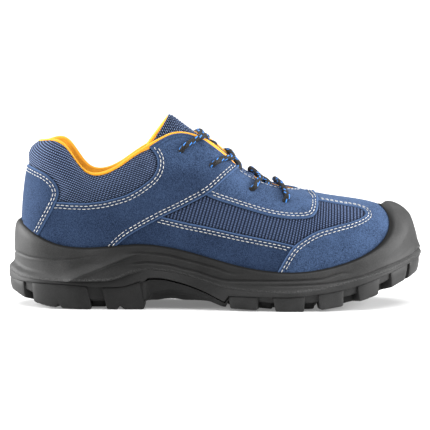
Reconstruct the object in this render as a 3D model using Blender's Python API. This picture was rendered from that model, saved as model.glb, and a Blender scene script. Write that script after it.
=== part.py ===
"""Low lace-up work shoe for the right foot, standing on its sole.

Frame: +X towards the toe, +Y towards the inner (big toe) side, +Z up, ground at Z = 0.
All sizes below are millimetres and become metres when a mesh is made.

The foot outline and the opening are two closed loops with one table row for each section.
A loop runs heel, outer side, toe, inner side, and back, and is read at a section number:
0 is the heel back, TOE the toe tip, and ROUND brings it back to the heel.
"""

import math
from typing import NamedTuple

import bmesh
import bpy
import numpy as np

MM = 0.001
GAP = 0.3

# Driving dimensions of the last and of the sole
LAST_LENGTH = 284.0
BALL_WIDTH = 92.5
WALL = 2.4
COLLAR_PADDING = 4.2
JOINT_FLARE = 8.0
OUTSOLE_FLARE = 9.0
TREAD_DEPTH = 6.0
CHANNEL_DEPTH = 4.0
INSOLE_THICKNESS = 4.0
TONGUE_THICKNESS = 5.0
LACE_DIAMETER = 4.0

# One row per section, heel to toe. Shares are of LAST_LENGTH from the heel and of BALL_WIDTH from the
# middle line. bed is the height of the last's bottom edge. bulge, rise, crown and lean shape the wall
# between the bottom edge and the opening: it leaves upwards over rise, swelling by bulge, and arrives
# at the opening over crown, at lean degrees from level. cover is how far the sole climbs up the wall,
# and lip is how thick it is there.
SECTION_COLUMNS = ("along", "outer", "inner", "bed", "bulge", "rise", "crown", "lean", "cover", "lip")
SECTIONS = (
    (0.000, 0.000, 0.000, 34.0, 1.5, 30.0, 17.0, 25.0, 29.0, 3.2),
    (0.032, 0.216, 0.211, 34.0, 2.5, 30.0, 16.5, 30.0, 25.5, 3.2),
    (0.106, 0.330, 0.319, 34.0, 5.0, 33.0, 18.0, 45.0, 14.5, 3.4),
    (0.211, 0.351, 0.319, 33.5, 6.5, 28.0, 18.0, 60.0, 12.5, 3.4),
    (0.324, 0.357, 0.297, 31.0, 6.5, 30.0, 24.0, 66.0, 16.5, 3.4),
    (0.447, 0.400, 0.314, 25.0, 5.5, 36.0, 38.0, 62.0, 16.5, 3.4),
    (0.570, 0.476, 0.411, 19.5, 5.0, 36.0, 42.0, 52.0, 12.5, 3.4),
    (0.694, 0.519, 0.481, 17.0, 5.0, 37.0, 36.0, 36.0, 11.0, 3.4),
    (0.810, 0.481, 0.476, 18.5, 5.0, 43.0, 38.0, 21.0, 14.0, 3.6),
    (0.912, 0.346, 0.411, 22.5, 5.0, 50.0, 42.0, 15.5, 23.0, 4.6),
    (0.972, 0.141, 0.270, 26.0, 5.0, 56.0, 45.0, 15.0, 42.0, 5.4),
    (1.000, -0.076, -0.076, 28.0, 5.0, 57.0, 46.5, 15.0, 55.0, 5.6),
)

# The opening's edge at the same sections: collar, top of the flap, then down the throat to its end.
# lift is how much higher the inner side stands than the outer side.
OPENING_COLUMNS = ("along", "outer", "inner", "height", "lift")
OPENING = (
    (0.049, 0.000, 0.000, 119.5, 0.0),
    (0.070, 0.184, 0.178, 120.5, 0.0),
    (0.120, 0.281, 0.276, 115.0, 0.0),
    (0.176, 0.335, 0.324, 98.6, 0.0),
    (0.261, 0.357, 0.340, 104.5, -1.5),
    (0.359, 0.275, 0.280, 123.5, -1.0),
    (0.465, 0.189, 0.216, 122.3, 0.0),
    (0.570, 0.157, 0.205, 99.0, 0.0),
    (0.655, 0.135, 0.200, 87.5, 0.0),
    (0.694, 0.086, 0.151, 85.4, 0.0),
    (0.706, 0.022, 0.097, 84.8, 0.0),
    (0.710, -0.038, -0.038, 84.6, 0.0),
)
TOE = len(SECTIONS) - 1
ROUND = 2 * TOE

# Side view of the sole: height of the tread above the ground, with the heel's rounded back, the arch
# and the toe spring, and height of the joint between outsole and midsole.
TREAD_LINE = (
    (-151, 9.5), (-141, 5.5), (-131, 2.8), (-118, 0.8), (-106, 0.0), (-52, 0.0), (-46, 11.0),
    (-32, 13.2), (-18, 10.5), (-5, 5.5), (6, 0.4), (9, 0.0), (80, 0.0), (94, 1.7), (107, 6.0),
    (120, 10.8), (143, 19.5), (152, 23.0),
)
JOINT_LINE = (
    (-152, 26.0), (-140, 22.0), (-110, 20.0), (-80, 20.5), (-60, 24.0), (-45, 25.0), (-30, 22.5),
    (-8, 16.5), (20, 14.0), (50, 13.0), (75, 15.5), (100, 21.0), (122, 26.5), (143, 34.0), (152, 37.0),
)

# Gaps between the tread's side lugs, from and to along the shoe, and the hollow under the waist.
LUG_GAPS = ((-141, -134), (-91, -81), (32, 42), (66, 76), (95, 105), (122, 129))
WAIST = (-50, 8)
WAIST_ROOF = ((-50, 22.5), (-42, 22.7), (-25, 19.5), (-7, 13.0), (3, 8.0), (8, 6.0))
LUG_RELIEF = 2.5
LUG_DRAFT = 0.45
WAIST_RELIEF = 5.0
LEDGE_DROP = 3.0
CENTRE_GAPS = ((-120, -114), (-68, -62), (16, 22), (50, 56), (83, 89), (111, 117))


class LaceHole(NamedTuple):
    """A hole in both flaps: section, share of the wall, and section where its lace crosses the edge."""

    section: float
    share: float
    edge: float


LACE_HOLES = (
    LaceHole(5.40, 0.876, 5.95), LaceHole(6.02, 0.808, 6.65),
    LaceHole(6.90, 0.780, 7.45), LaceHole(7.64, 0.752, 8.10),
)


def column(table, names, name):
    """One column of a half loop as a full loop of section values."""
    half = np.array([row[names.index(name)] for row in table])
    return np.concatenate([half, half[-2:0:-1]])


def two_sided(table, names):
    """Outer half and inner half of a loop's sideways shares, the outer side at minus Y."""
    outer = np.array([row[names.index("outer")] for row in table])
    inner = np.array([row[names.index("inner")] for row in table])
    return np.concatenate([-outer, inner[-2:0:-1]]) * BALL_WIDTH


class Loop:
    """Smooth closed curve through one value per section, read at any section number."""

    def __init__(self, values):
        self.values = np.asarray(values, float)
        count = len(self.values)
        system = 4 * np.eye(count) + np.roll(np.eye(count), 1, 0) + np.roll(np.eye(count), -1, 0)
        second = 6 * (np.roll(self.values, -1) - 2 * self.values + np.roll(self.values, 1))
        self.bend = np.linalg.solve(system, second)

    def __call__(self, section):
        section = np.mod(section, len(self.values))
        low = np.floor(section).astype(int) % len(self.values)
        high = (low + 1) % len(self.values)
        b = section - np.floor(section)
        a = 1 - b
        return (a * self.values[low] + b * self.values[high]
                + ((a**3 - a) * self.bend[low] + (b**3 - b) * self.bend[high]) / 6)


def smooth_table(table, x):
    """Height from a side view table, eased between its rows without overshooting."""
    xs, zs = np.array(table, float).T
    slope = np.diff(zs) / np.diff(xs)
    turn = np.zeros(len(xs))
    keep = slope[1:] * slope[:-1] > 0
    turn[1:-1][keep] = 2 * slope[1:][keep] * slope[:-1][keep] / (slope[1:] + slope[:-1])[keep]
    x = np.clip(x, xs[0], xs[-1])
    low = np.clip(np.searchsorted(xs, x, "right") - 1, 0, len(xs) - 2)
    run = xs[low + 1] - xs[low]
    b = (x - xs[low]) / run
    return ((1 + 2 * b) * (1 - b) ** 2 * zs[low] + b * (1 - b) ** 2 * run * turn[low]
            + b * b * (3 - 2 * b) * zs[low + 1] - b * b * (1 - b) * run * turn[low + 1])


def along_to_x(share):
    """Place along the shoe from a share of the last's length."""
    return (share - 0.5) * LAST_LENGTH


FOOT_X = Loop(along_to_x(column(SECTIONS, SECTION_COLUMNS, "along")))
FOOT_Y = Loop(two_sided(SECTIONS, SECTION_COLUMNS))
BED, BULGE, RISE, CROWN, LEAN, COVER, LIP = (
    Loop(column(SECTIONS, SECTION_COLUMNS, name)) for name in SECTION_COLUMNS[3:])
EDGE_X = Loop(along_to_x(column(OPENING, OPENING_COLUMNS, "along")))
EDGE_Y = Loop(two_sided(OPENING, OPENING_COLUMNS))
EDGE_LIFT = column(OPENING, OPENING_COLUMNS, "lift")
EDGE_LIFT[:TOE + 1] = 0
EDGE_Z = Loop(column(OPENING, OPENING_COLUMNS, "height") + EDGE_LIFT)


def stack(x, y, z):
    """Points from their coordinates, each a number or an array."""
    return np.stack(np.broadcast_arrays(x, y, z), -1)


def outward(section):
    """Level unit vector pointing out of the foot outline."""
    step = 0.01
    dx = FOOT_X(section + step) - FOOT_X(section - step)
    dy = FOOT_Y(section + step) - FOOT_Y(section - step)
    size = np.hypot(dx, dy)
    return stack(dy / size, -dx / size, 0)


def foot_point(section, flare=0.0, height=None):
    """Point on the foot outline, moved out level by flare."""
    level = BED(section) if height is None else height
    return stack(FOOT_X(section), FOOT_Y(section), level) + np.asarray(flare)[..., None] * outward(section)


# How strongly the wall arrives square to the outline, beside its own way to the opening
INWARD_PULL = 30.0


def wall_point(section, share):
    """Outer face of the upper: share 0 at the last's bottom edge, 1 at the opening."""
    foot = foot_point(section)
    edge = stack(EDGE_X(section), EDGE_Y(section), EDGE_Z(section))
    out = outward(section)
    inward = (edge - foot) * (1, 1, 0) - INWARD_PULL * out
    inward /= np.linalg.norm(inward, axis=-1, keepdims=True)
    up = np.array((0.0, 0.0, 1.0))
    lean = np.radians(LEAN(section))[..., None]
    low = foot + BULGE(section)[..., None] * out + RISE(section)[..., None] * up
    high = edge - CROWN(section)[..., None] * (np.cos(lean) * inward + np.sin(lean) * up)
    b = np.asarray(share, float)[..., None]
    a = 1 - b
    return a**3 * foot + 3 * a * a * b * low + 3 * a * b * b * high + b**3 * edge


def wall_normal(section, share):
    """Unit vector out of the upper's wall."""
    step = 0.004
    share = np.clip(share, step, 1 - step)
    across = wall_point(section + step, share) - wall_point(section - step, share)
    upward = wall_point(section, share + step) - wall_point(section, share - step)
    normal = np.cross(across, upward)
    return normal / np.linalg.norm(normal, axis=-1, keepdims=True)


def offset_wall(section, share, distance):
    """Point at a distance out of the upper's wall."""
    section, share, distance = np.broadcast_arrays(section, share, distance)
    return wall_point(section, share) + distance[..., None] * wall_normal(section, share)


def share_at(section, climb):
    """Share of the wall reached after climbing that far from the bottom edge."""
    steps = np.linspace(0, 1, 65)
    line = wall_point(section[:, None], steps[None, :])
    runs = np.linalg.norm(np.diff(line, axis=1), axis=2)
    reached = np.concatenate([np.zeros((len(section), 1)), np.cumsum(runs, 1)], 1)
    return np.array([np.interp(c, r, steps) for c, r in zip(climb, reached)])


def ease(low, high, value):
    """Smooth step from 0 at low to 1 at high."""
    b = np.clip((value - low) / (high - low), 0, 1)
    return b * b * (3 - 2 * b)


def wall_thickness(section, share):
    """Leather and lining, and the padding round the collar."""
    from_heel = np.minimum(section % ROUND, ROUND - section % ROUND)
    collar = 1 - ease(3.6, 5.2, from_heel)
    padding = ease(0.50, 0.74, share) * (1 - 0.75 * ease(0.82, 1.0, share))
    return WALL + COLLAR_PADDING * collar * padding


def mirrored(half):
    """Section numbers of a whole ring from those of its outer half, in matching pairs."""
    half = np.asarray(half, float)
    return np.concatenate([half, ROUND - half[-2:0:-1]])


def add_object(name, mesh, material):
    """A named object with smooth shading, under the shoe's own empty."""
    mesh.shade_smooth()
    mesh.set_sharp_from_angle(angle=math.radians(40))
    mesh.materials.append(material)
    obj = bpy.data.objects.new(name, mesh)
    bpy.context.scene.collection.objects.link(obj)
    obj.parent = bpy.data.objects[ROOT_NAME]
    return obj


def new_object(name, fill, material):
    """An object around the mesh that fill makes, with its faces outwards."""
    mesh = bpy.data.meshes.new(name)
    shape = bmesh.new()
    fill(shape)
    bmesh.ops.recalc_face_normals(shape, faces=shape.faces)
    shape.to_mesh(mesh)
    shape.free()
    return add_object(name, mesh, material)


def to_metres(points):
    """Metres, with the middle of the outsole's width at Y = 0."""
    across = foot_point(np.linspace(0, ROUND, 800), OUTSOLE_FLARE)[:, 1]
    return (np.asarray(points) - (0, (across.min() + across.max()) / 2, 0)) * MM


def add_ring(shape, points):
    return [shape.verts.new(point) for point in to_metres(points)]


def bridge(shape, first, second):
    """Band of faces between two rings of one size."""
    count = len(first)
    for i in range(count):
        j = (i + 1) % count
        shape.faces.new((first[i], first[j], second[j], second[i]))


def cross_cap(shape, ring):
    """Closes a mirrored ring with strips that run from the outer to the inner side."""
    count = len(ring)
    shape.faces.new((ring[0], ring[1], ring[-1]))
    for i in range(1, count // 2 - 1):
        shape.faces.new((ring[i], ring[i + 1], ring[count - i - 1], ring[count - i]))
    toe = count // 2
    shape.faces.new((ring[toe - 1], ring[toe], ring[toe + 1]))


def capped_rings(shape, rings):
    """A closed body through rings, the first and last of them capped."""
    made = [add_ring(shape, ring) for ring in rings]
    for first, second in zip(made, made[1:]):
        bridge(shape, first, second)
    cross_cap(shape, made[0])
    cross_cap(shape, made[-1])


BODY_COLUMNS = 42
LOW_PARTS = (0.0, 0.25, 0.5, 0.75, 1.0)
HIGH_ROWS = 7
RIM_ROUNDING = 1.0


def fill_upper(shape):
    """One hollow wall, open at collar, throat and bottom. Its low rows are those of the sole's cup."""
    ring = mirrored(np.linspace(0, TOE, BODY_COLUMNS + 1))
    shares = [share_at(ring, part * COVER(ring)) for part in LOW_PARTS]
    lip = shares[-1]
    shares += [lip + (1 - lip) * (row + 1) / HIGH_ROWS for row in range(HIGH_ROWS)]
    outer = [offset_wall(ring, share, 0.0) for share in shares]
    inner = [offset_wall(ring, share, -wall_thickness(ring, share)) for share in shares]
    upward = outer[-1] - outer[-2]
    upward /= np.linalg.norm(upward, axis=1, keepdims=True)
    rim = (outer[-1] + inner[-1]) / 2 + RIM_ROUNDING * upward
    made = [add_ring(shape, points) for points in (*outer, rim, *inner[::-1])]
    for first, second in zip(made, made[1:] + made[:1]):
        bridge(shape, first, second)


JOINT_INSET = 3.0
JOINT_GAP = 0.45
FLOOR_THICKNESS = 4.5
SKIN_CURVE = 1.6
LIP_EDGE = 1.0
CREST_DROP = 0.8


def joint_height(section):
    """Height of the joint between outsole and midsole."""
    return smooth_table(JOINT_LINE, foot_point(section, JOINT_FLARE)[..., 0])


def sole_skin(section, part, thickness):
    """Skin of the midsole: part 0 at the joint with the outsole, 1 at the lip against the upper."""
    lowest = joint_height(section) - BED(section)
    climb = lowest + part * (COVER(section) - lowest)
    skin = offset_wall(section, share_at(section, np.maximum(climb, 0)), thickness)
    straight = foot_point(section, thickness, BED(section) + climb)
    return np.where((climb < 0)[:, None], straight, skin)


def joint_rings(section, gap):
    """Rings of the joint between outsole and midsole, its rim and the floor that it dips to inside."""
    rim = sole_skin(section, 0.0, JOINT_FLARE)
    rim[:, 2] = joint_height(section) + gap
    floor_z = np.minimum(rim[:, 2], BED(section) - FLOOR_THICKNESS + gap)
    return [rim, foot_point(section, -JOINT_INSET, floor_z)]


def fill_midsole(shape):
    """Cup that holds the upper: bed, heel cup, toe bumper and the side wall down to the outsole."""
    ring = mirrored(np.linspace(0, TOE, BODY_COLUMNS + 1))
    top = COVER(ring)
    bed = foot_point(ring, GAP, BED(ring) - GAP)
    inside = [offset_wall(ring, share_at(ring, part * top), GAP) for part in LOW_PARTS[1:]]
    thick = LIP(ring)
    drop = CREST_DROP * thick
    lip = offset_wall(ring, share_at(ring, top), LIP_EDGE)
    crest = 1 - drop / (top - joint_height(ring) + BED(ring))
    outside = [sole_skin(ring, part * crest, thick + (JOINT_FLARE - thick) * (1 - part) ** SKIN_CURVE)
               for part in (1.0, 0.85, 0.65, 0.42, 0.2)]
    capped_rings(shape, [bed, *inside, lip, *outside, *joint_rings(ring, JOINT_GAP)])


TREAD_COLUMNS = 30
CLOSE_SECTIONS = 0.12


def tread_sections():
    """Section numbers of the outer half, with a close pair at each edge of a gap."""
    fine = np.linspace(0, TOE, 600)
    outline = foot_point(fine, OUTSOLE_FLARE)[:, 0]
    edges = [x for gap in (*LUG_GAPS, *CENTRE_GAPS, WAIST) for x in gap]
    pairs = [x + side * LUG_DRAFT for x in edges for side in (-1, 1)]
    close = np.interp(pairs, outline, fine)
    even = [s for s in np.linspace(0, TOE, TREAD_COLUMNS + 1) if np.abs(close - s).min() > CLOSE_SECTIONS]
    return np.sort(np.concatenate([even, close]))


def inside_any(x, gaps):
    """Whether x is inside one of the gaps."""
    return np.any([(x > low) & (x < high) for low, high in gaps], axis=0)


# Stations across the tread, as shares from the outer to the inner edge, and the zone that each is in.
SIDE, CHANNEL, CENTRE = "side", "channel", "centre"
ACROSS = ((0.30, SIDE), (0.31, CHANNEL), (0.35, CHANNEL), (0.36, CENTRE),
          (0.64, CENTRE), (0.65, CHANNEL), (0.69, CHANNEL), (0.70, SIDE))
EDGE_ROUNDING = 1.2
END_ROUNDING = 3.6
LEDGE_SLOPE = 0.4


def end_rounding(section):
    """Radius under the sole's edge: small along the sides, larger round the heel and the toe."""
    from_end = np.minimum(np.abs(section - TOE), np.minimum(section, ROUND - section))
    return EDGE_ROUNDING + END_ROUNDING * (1 - ease(0.4, 2.2, from_end))


def fill_outsole(shape):
    """Outsole with side lugs, centre blocks, heel, hollow waist and toe spring."""
    half = tread_sections()
    ring = mirrored(half)
    outline = foot_point(ring, OUTSOLE_FLARE)[:, 0]
    pair_x = np.concatenate([outline[:len(half)], outline[len(half) - 2:0:-1]])
    in_waist = inside_any(pair_x, (WAIST,))
    in_gap = inside_any(pair_x, LUG_GAPS)
    relief = WAIST_RELIEF * in_waist + LUG_RELIEF * in_gap
    rim, floor = joint_rings(ring, 0.0)
    ledge_z = np.where(in_waist, smooth_table(WAIST_ROOF, pair_x), rim[:, 2] - LEDGE_DROP)
    band = foot_point(ring, OUTSOLE_FLARE, ledge_z + LEDGE_SLOPE)
    ledge = foot_point(ring, OUTSOLE_FLARE - relief, ledge_z - LEDGE_SLOPE)
    bottom_z = smooth_table(TREAD_LINE, outline) + TREAD_DEPTH * in_gap
    rounding = np.minimum(end_rounding(ring), (ledge_z - LEDGE_SLOPE - bottom_z) * 0.8)
    low = foot_point(ring, OUTSOLE_FLARE - relief, bottom_z + rounding)
    bottom = foot_point(ring, OUTSOLE_FLARE - relief - rounding, bottom_z)
    made = [add_ring(shape, points) for points in (floor, rim, band, ledge, low, bottom)]
    for first, second in zip(made, made[1:]):
        bridge(shape, first, second)
    cross_cap(shape, made[0])
    rows = [tread_row(shape, made[-1], bottom, i, pair_x[i]) for i in range(1, len(half) - 1)]
    for first, second in zip(rows, rows[1:]):
        for k in range(len(first) - 1):
            shape.faces.new((first[k], second[k], second[k + 1], first[k + 1]))
    for tip, row in ((made[-1][0], rows[0]), (made[-1][len(half) - 1], rows[-1])):
        for k in range(len(row) - 1):
            shape.faces.new((tip, row[k], row[k + 1]))


def tread_row(shape, ring, points, i, x):
    """Vertices across the tread between the ring's points i on the outer and inner side."""
    outer, inner = points[i], points[-i]
    row = [ring[i]]
    for share, zone in ACROSS:
        point = outer + share * (inner - outer)
        point[2] = smooth_table(TREAD_LINE, point[0])
        if zone == CHANNEL and not inside_any(x, (WAIST,)):
            point[2] += CHANNEL_DEPTH
        if zone == SIDE and inside_any(x, LUG_GAPS):
            point[2] += TREAD_DEPTH
        if zone == CENTRE and inside_any(x, CENTRE_GAPS):
            point[2] += CHANNEL_DEPTH
        row.append(shape.verts.new(to_metres(point)))
    return [*row, ring[-i]]


INSOLE_COLUMNS = 32
INSOLE_ROUNDING = 1.0


def fill_insole(shape):
    """Flat footbed that lies in the upper on the midsole."""
    ring = mirrored(np.linspace(0, TOE, INSOLE_COLUMNS + 1))
    inset = WALL + 2 * GAP
    bed = BED(ring)
    profile = ((INSOLE_ROUNDING, 0.0), (0.0, INSOLE_ROUNDING),
               (0.0, INSOLE_THICKNESS - INSOLE_ROUNDING), (INSOLE_ROUNDING, INSOLE_THICKNESS))
    capped_rings(shape, [foot_point(ring, -inset - back, bed + height) for back, height in profile])


# Tongue under the flaps, from the end of the throat up: section number, and how far its sides swing
# back. It lies under the wall shares of TONGUE_SHARES, and arches up between the flaps.
TONGUE_ROWS = ((10.2, 0.0), (9.6, 0.0), (9.0, 0.0), (8.4, 0.0), (7.8, 0.0), (7.2, 0.0),
               (6.7, 0.05), (6.2, 0.15), (5.8, 0.30))
TONGUE_SHARES = (0.78, 0.87, 0.95)
TONGUE_ARCH = (0.05, 0.17)
ARCH_SECTIONS = (5.8, 7.6)
TONGUE_CLEARANCE = 0.8
# Free end above the flaps: climb along the tongue, half width, and how far the sides drop.
TONGUE_FREE = ((6.0, 19.0, 10.0), (13.5, 20.0, 12.0), (20.5, 19.0, 13.0), (25.0, 14.0, 9.5))


def tongue_arch(section):
    """Edges that the tongue's arch springs from, its direction, and its height."""
    pair = np.array((section, ROUND - section))
    share = np.full(2, TONGUE_SHARES[-1])
    outer, inner = offset_wall(pair, share, -wall_thickness(pair, share) - TONGUE_CLEARANCE)
    crown = wall_normal(pair, share).sum(0)
    across = inner - outer
    crown -= across * (crown @ across) / (across @ across)
    low, high = TONGUE_ARCH
    share_of_span = high + (low - high) * ease(*ARCH_SECTIONS, section)
    height = share_of_span * np.linalg.norm(across)
    return outer, inner, crown / np.linalg.norm(crown), height


def tongue_top(section, across, lift=0.0):
    """Point on the tongue's arch: across 0 at the outer flap, 1 at the inner flap."""
    outer, inner, crown, height = tongue_arch(section)
    return outer + across * (inner - outer) + crown * (lift + height * (1 - (2 * across - 1) ** 2))


def tongue_row(section, swing):
    """Points across the tongue at one section, from the outer to the inner side."""
    shares = np.array(TONGUE_SHARES)
    back = section - swing * (shares[-1] - shares) / (shares[-1] - shares[0])
    depth = -wall_thickness(back, shares) - TONGUE_CLEARANCE
    outer = offset_wall(back, shares, depth)
    inner = offset_wall(ROUND - back, shares, depth)
    return np.array([*outer, *(tongue_top(section, across) for across in (0.25, 0.5, 0.75)), *inner[::-1]])


def tongue_rows():
    """All rows of the tongue's front face, up to its free end."""
    rows = [tongue_row(*row) for row in TONGUE_ROWS]
    centre = len(rows[0]) // 2
    top = rows[-1][centre]
    along = top - rows[-2][centre]
    along /= np.linalg.norm(along)
    down = np.array((-along[2], 0, along[0]))
    spread = np.linspace(-1, 1, len(rows[0]))[:, None]
    for climb, half_width, drop in TONGUE_FREE:
        rows.append(top + climb * along + spread * (0, half_width, 0) + spread**2 * drop * down)
    return rows


def fill_tongue(shape):
    """Front face of the tongue."""
    rows = [add_ring(shape, row) for row in tongue_rows()]
    for first, second in zip(rows, rows[1:]):
        for k in range(len(first) - 1):
            shape.faces.new((first[k], first[k + 1], second[k + 1], second[k]))


LACE_LIFT = LACE_DIAMETER / 2 + 0.5
LACE_STEPS = 3
# Where a crossing stops, short of the other flap: sections before that hole's edge, and share across
CROSSING_END = (0.24, 0.80)
# How much higher the lace lies halfway over the flap, at its edge and over the tongue
FLAP_RISE, EDGE_RISE, TONGUE_RISE = 0.2, 0.9, 0.6
OUTER, INNER = -1, 1


def lace_flap(hole, side):
    """Lace from a hole over the flap to its edge."""
    halfway = ((hole.section + hole.edge) / 2, (hole.share + 1) / 2, FLAP_RISE)
    points = []
    for section, share, rise in ((hole.section, hole.share, 0.0), halfway, (hole.edge, 0.99, EDGE_RISE)):
        number = section if side == OUTER else ROUND - section
        points.append(offset_wall(np.array(number), np.array(share), LACE_LIFT + rise))
    return points


def lace_diagonal(hole, next_hole, side):
    """Lace out of one hole, over the tongue, to just before the flap on the other side."""
    short, across = CROSSING_END
    end = next_hole.edge - short
    over = tongue_top((hole.edge + end) / 2, 0.5, LACE_LIFT + TONGUE_RISE)
    return [*lace_flap(hole, side), over,
            tongue_top(end, across if side == OUTER else 1 - across, LACE_LIFT + TONGUE_RISE)]


def lace_bar(hole):
    """Lace straight across from one hole to the hole opposite."""
    over = tongue_top(hole.edge, 0.5, LACE_LIFT + TONGUE_RISE)
    return [*lace_flap(hole, OUTER), over, *lace_flap(hole, INNER)[::-1]]


def smooth_path(points):
    """Points of a smooth curve through the given ones."""
    points = np.array(points)
    padded = np.concatenate([[2 * points[0] - points[1]], points, [2 * points[-1] - points[-2]]])
    path = []
    for a, b, c, d in zip(padded, padded[1:], padded[2:], padded[3:]):
        for t in np.arange(LACE_STEPS) / LACE_STEPS:
            path.append(b + (c - a) * t / 2 + (2 * a - 5 * b + 4 * c - d) * t * t / 2
                        + (3 * b - a - 3 * c + d) * t**3 / 2)
    return np.array([*path, points[-1]])


def cord_mesh(name, points):
    """Mesh of a round cord with flat ends along a smooth path through points."""
    path = to_metres(smooth_path(points))
    curve = bpy.data.curves.new(name, "CURVE")
    curve.dimensions = "3D"
    curve.bevel_depth = LACE_DIAMETER / 2 * MM
    curve.bevel_resolution = 2
    curve.use_fill_caps = True
    spline = curve.splines.new("POLY")
    spline.points.add(len(path) - 1)
    for point, place in zip(spline.points, path):
        point.co = (*place, 1)
    guide = bpy.data.objects.new(name, curve)
    mesh = bpy.data.meshes.new_from_object(guide)
    bpy.data.objects.remove(guide)
    return mesh


def add_crossing(name, hole, next_hole, colour):
    """Two laces that cross over the tongue, joined where they touch."""
    crossing, other = (
        add_object(name + end, cord_mesh(name, lace_diagonal(hole, next_hole, side)), colour)
        for side, end in ((OUTER, ""), (INNER, "_other")))
    other.hide_render = True
    other.display_type = "WIRE"
    join = crossing.modifiers.new("join", "BOOLEAN")
    join.operation = "UNION"
    join.solver = "EXACT"
    join.object = other


def material(name, colour, roughness):
    """A plain finish: colour, roughness, not metallic."""
    made = bpy.data.materials.new(name)
    made.use_nodes = True
    shader = made.node_tree.nodes["Principled BSDF"]
    shader.inputs["Base Color"].default_value = (*colour, 1)
    shader.inputs["Roughness"].default_value = roughness
    shader.inputs["Metallic"].default_value = 0
    return made


ROOT_NAME = "work_shoe"


def main():
    """Clears the scene and builds the shoe."""
    for obj in list(bpy.data.objects):
        bpy.data.objects.remove(obj)
    bpy.context.scene.collection.objects.link(bpy.data.objects.new(ROOT_NAME, None))
    new_object("outsole", fill_outsole, material("outsole_black", (0.035, 0.036, 0.038), 0.5))
    new_object("midsole", fill_midsole, material("midsole_grey", (0.045, 0.046, 0.048), 0.55))
    new_object("upper", fill_upper, material("upper_blue", (0.055, 0.12, 0.29), 0.9))
    new_object("insole", fill_insole, material("insole_grey", (0.06, 0.06, 0.065), 0.9))
    tongue = new_object("tongue", fill_tongue, material("tongue_navy", (0.03, 0.055, 0.13), 0.9))
    padding = tongue.modifiers.new("padding", "SOLIDIFY")
    padding.thickness = TONGUE_THICKNESS * MM
    padding.offset = -1
    lace = material("lace_black", (0.02, 0.02, 0.022), 0.8)
    for number, (hole, next_hole) in enumerate(zip(LACE_HOLES, LACE_HOLES[1:]), 1):
        add_crossing(f"lace_cross_{number}", hole, next_hole, lace)
    add_object("lace_bar", cord_mesh("lace_bar", lace_bar(LACE_HOLES[-1])), lace)


main()
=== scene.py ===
"""Looks of a low lace-up work shoe: suede panels, ribbed mesh, lining, stitches, lace and moulded sole.

Shapes are worked out in millimetres on the last that the solids follow, and become metres when a mesh is
made: +X towards the toe, +Y towards the inner side of the foot, +Z up, ground at Z = 0.

A spot on the upper's wall is a section number and a share. Sections count round the foot: 0 is the heel
back, TOE the toe tip, and ROUND the heel again, along the outer side first. The share is 0 at the last's
bottom edge and 1 at the opening.
"""

import logging
import math
from dataclasses import dataclass, field
from enum import Enum
from typing import Any, Callable, NamedTuple, Sequence

import bmesh
import bpy
import numpy as np
from mathutils import Matrix, Vector
from mathutils.kdtree import KDTree


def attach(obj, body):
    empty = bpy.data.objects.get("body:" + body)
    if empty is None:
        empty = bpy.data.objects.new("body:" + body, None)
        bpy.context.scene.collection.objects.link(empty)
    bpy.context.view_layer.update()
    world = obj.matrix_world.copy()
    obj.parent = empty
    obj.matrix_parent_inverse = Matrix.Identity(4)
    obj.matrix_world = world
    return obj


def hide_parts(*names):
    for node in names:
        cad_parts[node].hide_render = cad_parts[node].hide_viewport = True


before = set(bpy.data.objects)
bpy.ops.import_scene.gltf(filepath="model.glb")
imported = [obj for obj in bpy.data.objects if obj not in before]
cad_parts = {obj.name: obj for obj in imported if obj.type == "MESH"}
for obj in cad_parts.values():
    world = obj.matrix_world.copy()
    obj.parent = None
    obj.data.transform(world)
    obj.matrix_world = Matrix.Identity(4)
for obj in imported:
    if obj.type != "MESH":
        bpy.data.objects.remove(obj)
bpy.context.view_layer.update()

LOG = logging.getLogger("work_shoe")
Array = np.ndarray
Shape = bmesh.types.BMesh
Piece = bpy.types.Object
Material = bpy.types.Material
Span = tuple[float, float]
Line = tuple[Span, ...]
Colour = tuple[float, float, float]
MM = 0.001
UP = np.array((0.0, 0.0, 1.0))

# The last at its sections, heel to toe. Shares are of the last's length from the heel and of the ball's
# width from the middle line. bed is the height of the bottom edge. The wall leaves it upwards over rise,
# swelling by bulge, and arrives at the opening over crown at lean degrees from level. The sole climbs up
# the wall by cover and is lip thick there.
SECTION_COLUMNS = ("along", "outer", "inner", "bed", "bulge", "rise", "crown", "lean", "cover", "lip")
SECTIONS = (
    (0.000, 0.000, 0.000, 34.0, 0.3, 30.0, 13.5, 25.0, 29.0, 3.2),
    (0.032, 0.216, 0.211, 34.0, 1.8, 30.0, 14.0, 30.0, 22.3, 3.2),
    (0.106, 0.330, 0.319, 34.0, 5.0, 33.0, 18.0, 45.0, 12.5, 3.4),
    (0.211, 0.351, 0.319, 33.5, 6.5, 28.0, 18.0, 60.0, 11.8, 3.4),
    (0.324, 0.357, 0.297, 31.0, 6.5, 30.0, 24.0, 66.0, 16.5, 3.4),
    (0.447, 0.400, 0.314, 25.0, 5.5, 36.0, 38.0, 62.0, 16.5, 3.4),
    (0.570, 0.476, 0.411, 19.5, 5.0, 36.0, 42.0, 52.0, 12.5, 3.4),
    (0.694, 0.519, 0.481, 17.0, 5.0, 37.0, 36.0, 36.0, 11.0, 3.4),
    (0.810, 0.481, 0.476, 18.5, 5.0, 43.0, 38.0, 21.0, 14.0, 3.6),
    (0.912, 0.346, 0.411, 22.5, 5.0, 51.0, 39.0, 18.0, 21.8, 4.6),
    (0.972, 0.141, 0.270, 26.0, 5.0, 58.5, 40.0, 20.0, 38.0, 5.4),
    (1.000, -0.076, -0.076, 28.0, 5.0, 60.0, 40.0, 21.0, 55.0, 5.6),
)
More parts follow.
